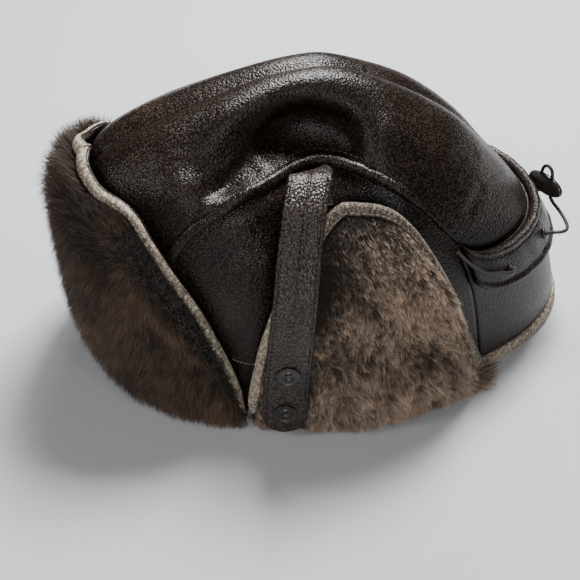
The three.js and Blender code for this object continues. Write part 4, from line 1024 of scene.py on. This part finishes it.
# Stitching
def stitchRow(name, path, normals, look, material, slot):
    # stitches along a path: each is a row of six-sided rings whose radius falls off as a half ellipse
    length = lengthsAlong(path)
    centres = np.arange(look["pitch"] / 2, length[-1], look["pitch"])
    along = np.array([-1.0, -0.72, 0.0, 0.72, 1.0])
    reach = np.sqrt(1 - along ** 2).clip(0.05, 1)
    place = placesAt(centres[:, None] + along[None, :] * look["length"] / 2, length, path)
    normal = unit(placesAt(centres, length, normals))
    forward = unit(place[:, -1] - place[:, 0])
    across = unit(np.cross(normal, forward))
    normal = np.cross(forward, across)
    place = place + normal[:, None, :] * (look["sink"] * (1 - along ** 2) + look["lift"])[None, :, None]
    turn = np.linspace(0, 2 * math.pi, 6, endpoint=False)
    ring = ringAround(turn, across, normal)
    points = place[:, :, None, :] + ring[:, None, :, :] * (look["radius"] * reach)[None, :, None, None]
    caps = np.array([[0, 3, 2, 1], [0, 5, 4, 3]])
    one = np.concatenate([ringQuads(len(along), 6), caps, caps[:, ::-1] + (len(along) - 1) * 6])
    faces = (one[None] + np.arange(len(centres))[:, None, None] * len(along) * 6).reshape(-1, 4)
    points = points.reshape(-1, 3)
    finishPiece(makeMesh(name, points, outwardFaces(points, faces)), material, slot)


def stitchLine(name, side, degrees, level, out, material, slot, dented=1.0, **changes):
    # stitches at a level of the head form
    path = onForm(side, degrees, level, out, dented)
    normals = outward(angleOf(side, degrees), rowAt(level), dented)
    stitchRow(name, path, normals, {**stitchLook, **changes}, material, slot)


stitchLook = {"pitch": 3.4, "length": 2.5, "radius": 0.32, "sink": 0.12, "lift": 0.02}
for side, topAt in ((1, earTop), (-1, farEarTop)):
    # light thread along the inner border of the ear flap's edge
    s, name = flapSettings, sideName[side]
    degrees = np.linspace(-10, 26, 260)
    level = insideEdge(topAt, degrees, s["edgeWidth"] * 0.8)
    out = earOut(degrees, level) + s["leather"] + s["gap"] + s["edgeThickness"] * 0.86
    stitchLine(f"ear_edge_stitches_{name}", side, degrees, level, out, paleThread, "raw_skin", 0.0)
for number, up in enumerate((0.17, 0.83)):
    # dark thread inside both beads of the back band
    degrees = np.linspace(bandStart + 1, 180 - bandStart - 1, 700)
    stitchLine(f"band_stitches_{number}", 1, degrees, bandTop(degrees) - bandSettings["foot"] * (1 - up),
               bandThickness * 0.93 + bandSettings["lift"], threadLook, "brown_leather",
               pitch=2.9, length=2.2, radius=0.3, lift=0.12)
for side in (1, -1):
    # thread beside the welt on the side panel and on the crown
    name = sideName[side]
    for number, drop in enumerate((-4.9, 4.6)):
        degrees = np.linspace(-54, 24, 700)
        level = hemLevel(degrees) + levels(drop)
        stitchLine(f"welt_stitches_{name}_{number}", side, degrees, level, 0.1, threadLook, "brown_leather",
                   radius=0.28)
    # light thread that closes the side panel's hem in front of the ear flap
    degrees = np.linspace(-31.5, -20.5, 60)
    level = 0.224 + 0.012 * ((degrees + 25.5) / 5) ** 2
    stitchLine(f"panel_hem_thread_{name}", side, degrees, level, 0.25, rawSkin, "raw_skin",
               pitch=2.3, length=2.25, radius=0.42)
    # thread along both edges of the strap, in its groove
    s = strapSettings
    spots, centres, across, normal = beltPath(side)
    inward = 0.84 * s["widths"][side] / 2 * beltHalf(side, spots)
    first, last = 4, 176 if side > 0 else 58
    for number, way in enumerate((-1, 1)):
        path = centres + across * (way * inward)[:, None] + unit(normal) * (s["thickness"] / 2 - 0.28)
        stitchRow(f"strap_stitches_{name}_{number}", path[first:last], normal[first:last],
                  {**stitchLook, "pitch": 3.0, "length": 2.3, "radius": 0.3}, threadLook, "strap_leather")
print("stitches made")

# Fur
noiseRandom = np.random.default_rng(20)
noiseWaves = [(noiseRandom.normal(size=3), noiseRandom.uniform(0, 6.28)) for _ in range(14)]


def wavyNoise(points, size, start=0):
    # a smooth field from -1 to 1: sines along seven fixed directions, each a little finer
    total = 0
    for k in range(7):
        direction, phase = noiseWaves[(start + k) % len(noiseWaves)]
        direction = direction / np.linalg.norm(direction)
        total = total + np.sin(points @ direction / size * (1 + 0.28 * k) * 2.2 + phase + k)
    return total / 4.2


def furStrands(roots, normals, fall, length, lean, tone, look, seed):
    # ribbons of three triangles: a root pair, a pair part way and a tip. A strand starts along the normal
    # and bends towards fall, by lean; its tip moves to the tip of the nearest of some clump centres
    random = np.random.default_rng(seed)
    count = len(roots)
    whirl = np.stack([wavyNoise(roots, look["whirlSize"], k) for k in (0, 4, 8)], -1) * look["whirl"]
    direction = unit(fall + whirl + random.normal(size=(count, 3)) * look["wander"])
    direction = unit(direction - normals * np.sum(direction * normals, 1, keepdims=True))
    size = (length * (0.7 + 0.5 * random.random(count)))[:, None]
    bent = lean[:, None] * (1 + 0.3 * random.normal(size=(count, 1)))
    tips = roots + unit(normals + direction * bent) * size
    middle = roots + unit(normals * 1.5 + direction * bent) * size * look["kneeAt"]
    heads = random.choice(count, max(count // look["clump"], 1), replace=False)
    tree = KDTree(len(heads))
    for i, head in enumerate(heads):
        tree.insert(roots[head], i)
    tree.balance()
    owner = heads[np.array([tree.find(point)[1] for point in roots])]
    shift = np.linalg.norm(roots - roots[owner], axis=1, keepdims=True)
    pull = look["gather"] * np.exp(-(shift / look["clumpReach"]) ** 2)
    tips = tips * (1 - pull) + tips[owner] * pull
    side = unit(np.cross(direction, normals))
    spin = random.uniform(-0.9, 0.9, count)[:, None]
    side = unit(side * np.cos(spin) + direction * np.sin(spin))
    width = look["width"] * (0.7 + 0.6 * random.random(count))[:, None]
    points = np.stack([roots - side * width / 2, roots + side * width / 2,
                       middle - side * width * 0.4, middle + side * width * 0.4, tips], 1)
    base = np.arange(count)[:, None] * 5
    faces = np.concatenate([base + np.array(corners) for corners in ([0, 1, 3], [0, 3, 2], [2, 3, 4])])
    # the tip's colour: between two tones by tone, by a slow field, by its clump and by chance
    field = 0.5 * wavyNoise(roots, look["toneSize"], 3) + 0.3 * wavyNoise(roots, look["toneSize"] / 3.2, 5)
    clumpTone = random.normal(size=count)[owner]
    mixed = 0.46 + tone + 0.42 * field + 0.22 * clumpTone + 0.2 * random.normal(size=count)
    mixed = np.clip(mixed, 0, 1)[:, None]
    tipColour = np.array(look["tipDark"]) * (1 - mixed) + np.array(look["tipLight"]) * mixed
    # the roots are darker than the tips: partly the pile's own darker base, partly painted shade deep in the
    # pile; the knee lies between
    kneeColour = np.array(look["root"]) * (1 - look["kneeTone"]) + tipColour * look["kneeTone"]
    rootColour = np.broadcast_to(np.array(look["root"]), tipColour.shape)
    colours = np.stack([rootColour, rootColour, kneeColour, kneeColour, tipColour], 1)
    return points.reshape(-1, 3), faces, colours.reshape(-1, 3)


def furPiece(name, backing, strands, node, slot):
    # the backing's closed wall and the strands are one mesh with one colour attribute
    backPoints, backQuads, backColour = backing
    points, faces, colours = strands
    triangles = np.concatenate([backQuads[:, [0, 1, 2]], backQuads[:, [0, 2, 3]], faces + len(backPoints)])
    piece = makeMesh(name, np.concatenate([backPoints, points]), triangles, check=False)
    # the backing takes the roots' dark colour: the pile's own base and painted shade under the strands
    colours = np.concatenate([np.broadcast_to(backColour, (len(backPoints), 3)), colours]).clip(0, 1)
    attribute = piece.data.color_attributes.new("furColour", "FLOAT_COLOR", "POINT")
    opaque = np.column_stack([colours, np.ones(len(colours))])
    attribute.data.foreach_set("color", opaque.astype(np.float32).ravel())
    finishPiece(piece, furLook, slot, node)
    print(name, "made")


def scatter(surface, count, seed):
    # roots on a grid surface, spread by area: a cell by its area's share, then a bilinear place in it
    random = np.random.default_rng(seed)
    a, b, c, d = surface[:-1, :-1], surface[1:, :-1], surface[1:, 1:], surface[:-1, 1:]
    area = np.linalg.norm(np.cross(c - a, d - b), axis=-1)
    chosen = random.choice(area.size, count, p=(area / area.sum()).ravel())
    i, j = np.unravel_index(chosen, area.shape)
    a, b, c, d = (corner[i, j] for corner in (a, b, c, d))
    s, t = random.random((2, count, 1))
    place = (a * (1 - s) + b * s) * (1 - t) + (d * (1 - s) + c * s) * t
    normal, upward, around = unit(np.cross(c - a, d - b)), unit((d - a) + (c - b)), unit((b - a) + (c - d))
    return place, normal, upward, around, (i + s[:, 0]) / area.shape[0], (j + t[:, 0]) / area.shape[1]


def earFlow(angle, v, upward, around):
    # which way the strands fall, how much longer they are and how far they lean: at the fold and the rear
    # corner they are longer, and towards the rear edge they turn backward; sums of the smooth steps below
    rear = smoothStep(angle, 9, 27)[:, None]
    foot = 1 - smoothStep(v, 0.0, 0.16)
    corner = smoothStep(angle, 20, 28) * (1 - smoothStep(v, 0.1, 0.45))
    fringe = smoothStep(angle, 12, 20) * smoothStep(v, 0.86, 1.0)
    fall = -upward * (1 - 0.35 * rear - 0.45 * corner[:, None])
    fall = fall + around * (0.25 + 1.5 * rear + 1.2 * corner[:, None])
    longer = 1 + 1.0 * foot + 1.9 * corner + 0.35 * rear[:, 0] + 1.9 * fringe
    return fall, longer, 1 - 0.4 * foot + 0.5 * rear[:, 0]


def frontFlow(angle, v, upward, around):
    # the same for the front flap, whose crest stands up
    crest = smoothStep(v, 0.7, 1.0)
    foot = 1 - smoothStep(v, 0.0, 0.14)
    fall = -upward * (1 - 1.7 * crest)[:, None]
    return fall, 1 + 0.75 * crest * bump(angle + 95, 38) + 0.3 * foot, 1 - 0.3 * crest


earPile = curveThrough(*np.array(flapSettings["earPile"]).T)
furSettings = {
    # spots: angle, share up the flap, reach of each, and how much lighter or darker the tips are there; some
    # of them are painted light or shade, as noted at each list
    "front": {
        "count": 58000, "backing": 0.45, "length": 0.86, "lean": 0.95, "wander": 0.3, "whirl": 0.55,
        "whirlSize": 24.0, "clump": 13, "gather": 0.45, "clumpReach": 2.6, "width": 0.34, "toneSize": 24.0,
        "kneeAt": 0.55, "kneeTone": 0.4, "flow": frontFlow,
        "root": (0.012, 0.008, 0.0058), "tipDark": (0.022, 0.0135, 0.0088), "tipLight": (0.205, 0.128, 0.08),
        "spots": [
            # the first six spots, a bright line from -59 to -36 degrees, are a painted highlight along the
            # parting's ridge, over tips that are a little lighter there too
            (-59, 0.92, 3, 0.035, 0.8), (-55, 0.86, 3, 0.035, 0.8), (-51, 0.8, 3, 0.035, 0.8),
            (-46, 0.76, 3, 0.035, 0.8), (-41, 0.78, 3, 0.035, 0.8), (-36, 0.84, 3, 0.035, 0.6),
            (-48, 0.95, 8, 0.06, -0.4), (-38, 0.95, 5, 0.06, -0.4), (-96, 0.75, 20, 0.3, 0.1),
            (-62, 0.45, 16, 0.22, -0.16), (-40, 0.15, 12, 0.15, 0.18), (-80, 0.06, 30, 0.1, 0.15),
        ],
    },
    "ear": {
        "count": 58000, "backing": 0.45, "length": 0.92, "lean": 1.15, "wander": 0.34, "whirl": 0.6,
        "whirlSize": 17.0, "clump": 14, "gather": 0.66, "clumpReach": 2.8, "width": 0.36, "toneSize": 16.0,
        "kneeAt": 0.55, "kneeTone": 0.34, "flow": earFlow,
        "root": (0.014, 0.0095, 0.0068), "tipDark": (0.04, 0.025, 0.017), "tipLight": (0.78, 0.57, 0.41),
        "spots": [
            # the dark spot at -9 degrees beside the strap's top and the one along the flap's top edge at 2
            # degrees are painted shadow of the strap and the overhanging crown; the dark spot at -16 degrees
            # is painted shade along the strap; the others vary the tips' colour
            (-9, 0.88, 6.5, 0.21, -0.9), (-4, 0.48, 6, 0.1, -0.22), (5, 0.64, 8, 0.14, 0.24),
            (18, 0.72, 6, 0.2, 0.3), (2, 0.99, 12, 0.1, -0.5), (1, 0.06, 12, 0.1, 0.14),
            (26, 0.1, 6, 0.25, 0.4), (11, 0.36, 9, 0.1, -0.3), (-16, 0.3, 6, 0.5, -0.3),
        ],
    },
    "lining": {
        "count": 15500, "length": 0.9, "lean": 0.7, "wander": 0.35, "whirl": 0.5, "whirlSize": 22.0,
        "clump": 12, "gather": 0.5, "clumpReach": 3.2, "width": 0.6, "toneSize": 20.0, "kneeAt": 0.5,
        "kneeTone": 0.5, "root": (0.02, 0.0135, 0.0095), "tipDark": (0.07, 0.045, 0.03),
        "tipLight": (0.3, 0.205, 0.135),
    },
    "farShare": 0.42, "steps": 110, "rows": 50, "lowest": 0.5,
}


def earFurDepth(degrees, share):
    # the pile's depth in millimetres, less towards the flap's borders by a power of a sine
    u = (degrees + 28) / 56.6
    across = 0.35 + 0.65 * np.sin(math.pi * (0.04 + 0.92 * u)).clip(0, 1) ** 0.5
    return flapSettings["earFur"] * across * earPile(share) * (1 - 0.42 * bump(degrees + 15.5, 8.5))


def frontFurDepth(degrees, share):
    u = (degrees + 150.6) / 121.2
    across = 0.4 + 0.6 * np.sin(math.pi * (0.03 + 0.94 * u)).clip(0, 1) ** 0.5
    upward = 0.4 + 0.6 * np.sin(math.pi * (0.14 + 0.8 * share)).clip(0, 1) ** 0.6
    return flapSettings["frontFur"] * across * upward


def toneAt(spots, degrees, share):
    return sum((gain * bump(degrees - angle, reach) * bump(share - up, upReach)
                for angle, up, reach, upReach, gain in spots), 0 * degrees)


def flapFur(name, side, span, topAt, outAt, depthAt, look, node, slot, seed):
    # the backing stands to a share of the pile's depth; the strands root on it and fall as look's flow says
    s = flapSettings
    start, end = span
    degrees = degreesGrid(start + 0.3, end - 0.3, furSettings["steps"])
    share = np.linspace(0, 1, furSettings["rows"])[None, :]
    level = s["fold"] + (insideEdge(topAt, degrees, s["edgeWidth"] + 0.2) - s["fold"]) * share
    base = outAt(degrees, level) + s["leather"] + s["gap"] * 2.4
    depth = depthAt(degrees, share)
    under = onForm(side, degrees, level, base, 0.0)
    ridged = onForm(side, degrees, level, base + depth * look["backing"], 0.0)
    rough = wavyNoise(ridged.reshape(-1, 3), 7.0).reshape(ridged.shape[:2])
    rim = np.minimum(np.minimum(share, 1 - share) * 14, 1)
    rim = rim * np.minimum(np.minimum(degrees - start, end - degrees) / 3, 1)
    upper = onForm(side, degrees, level, base + 0.35 + (depth * look["backing"] + rough * 0.5) * rim, 0.0)
    under, upper = (liftedFrom(face, s["rimLift"]) for face in (under, upper))
    count = look["count"] if side > 0 else int(look["count"] * furSettings["farShare"])
    roots, normals, upward, around, u, v = scatter(upper, count, seed)
    angle = start + (end - start) * u
    plain = outward(np.array(angleOf(side, angle)), np.full(len(roots), 0.3), 0.0)
    normals = unit(normals * np.sign(np.sum(normals * plain, 1, keepdims=True)) + plain * 0.5)
    fall, longer, lean = look["flow"](angle, v, upward, around)
    length = depthAt(angle, v) * look["length"] * longer
    tone = toneAt(look["spots"], angle, v)
    strands = furStrands(roots, normals, fall, length, look["lean"] * lean, tone, look, seed + 1)
    liftedFrom(strands[0], furSettings["lowest"])
    furPiece(name, (*closedGrid(under, upper), look["root"]), strands, node, slot)


for side, topAt in ((1, earTop), (-1, farEarTop)):
    flapFur(f"ear_fur_strands_{sideName[side]}", side, flapSettings["ear"], topAt, earOut, earFurDepth,
            furSettings["ear"], f"ear_fur_{sideName[side]}", "taupe_fur", 31 + side)
flapFur("front_fur_strands", 1, flapSettings["front"], frontTop, frontOut, frontFurDepth,
        furSettings["front"], "front_fur", "brown_fur", 51)

liningSettings = {
    "gap": 2.8, "rimGap": 0.9, "fur": 7.0, "backing": 0.45, "dent": 1.3, "foot": 1.2, "footBack": 8.9,
    "raised": (27, 33), "sink": 1.5, "steps": 120, "rows": 50, "spread": 0.92, "middle": (0, 0, 60.0),
    "lowest": 0.6,
}
s = liningSettings
look = furSettings["lining"]
degrees = np.linspace(-180, 180, s["steps"] + 1)[:-1][:, None]
share = np.linspace(0, 1, s["rows"])[None, :] ** s["spread"]
lift = smoothStep(np.sin(np.radians(degrees)), *(math.sin(math.radians(turned)) for turned in s["raised"]))
foot = rowAt(levels(s["foot"] + (s["footBack"] - s["foot"]) * lift))
rows = foot + (1 - foot) * share
gap = s["rimGap"] + (s["gap"] - s["rimGap"]) * smoothStep(share, 0.05, 0.3)
angle = np.radians(degrees)
shell = layer(angle, rows, 0.0)
sunk = np.minimum(np.where(shell[..., 0] > 0, softRelief(shell, 1), softRelief(shell, -1)) + s["sink"], 0)
outerFace = layer(angle, rows, sunk - (form["leather"] + gap), s["dent"])
innerFace = layer(angle, rows, sunk - (form["leather"] + gap + s["fur"] * s["backing"]), s["dent"])
roots, normals, upward, around, u, v = scatter(innerFace, look["count"], 71)
towards = np.array(s["middle"]) - roots
normals = unit(normals * np.sign(np.sum(normals * towards, 1, keepdims=True)))
flat = np.ones(len(roots))
length = flat * s["fur"] * look["length"]
strands = furStrands(roots, normals, -upward, length, flat * look["lean"], 0 * flat, look, 72)
liftedFrom(strands[0], s["lowest"])
backing = (*closedGrid(innerFace, outerFace, True), look["root"])
furPiece("lining_strands", backing, strands, "lining", "brown_fur")
print("fur made")

# Floor and finish
floorMesh = bpy.data.meshes.new("paleFloor")
floorMesh.from_pydata([(-3, -3, 0), (3, -3, 0), (3, 3, 0), (-3, 3, 0)], [], [(0, 1, 2, 3)])
floor = newObject("paleFloor", floorMesh)
floorMaterial, floorTree, floorShader = newMaterial("paleFloor")
fillNode(floorTree, floorShader, **{"Base Color": (0.56, 0.57, 0.585, 1), "Roughness": 0.9})
floorMesh.materials.append(floorMaterial)
floor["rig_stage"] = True

bpy.context.view_layer.update()
total = 0
lows, highs = [], []
for piece in bpy.data.objects:
    if piece.type == "MESH" and not piece.get("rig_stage") and not piece.hide_render:
        piece.data.calc_loop_triangles()
        total += len(piece.data.loop_triangles)
        corners = np.empty(len(piece.data.vertices) * 3, np.float32)
        piece.data.vertices.foreach_get("co", corners)
        corners = corners.reshape(-1, 3)
        lows.append(corners.min(0))
        highs.append(corners.max(0))
print("triangles in all", total)
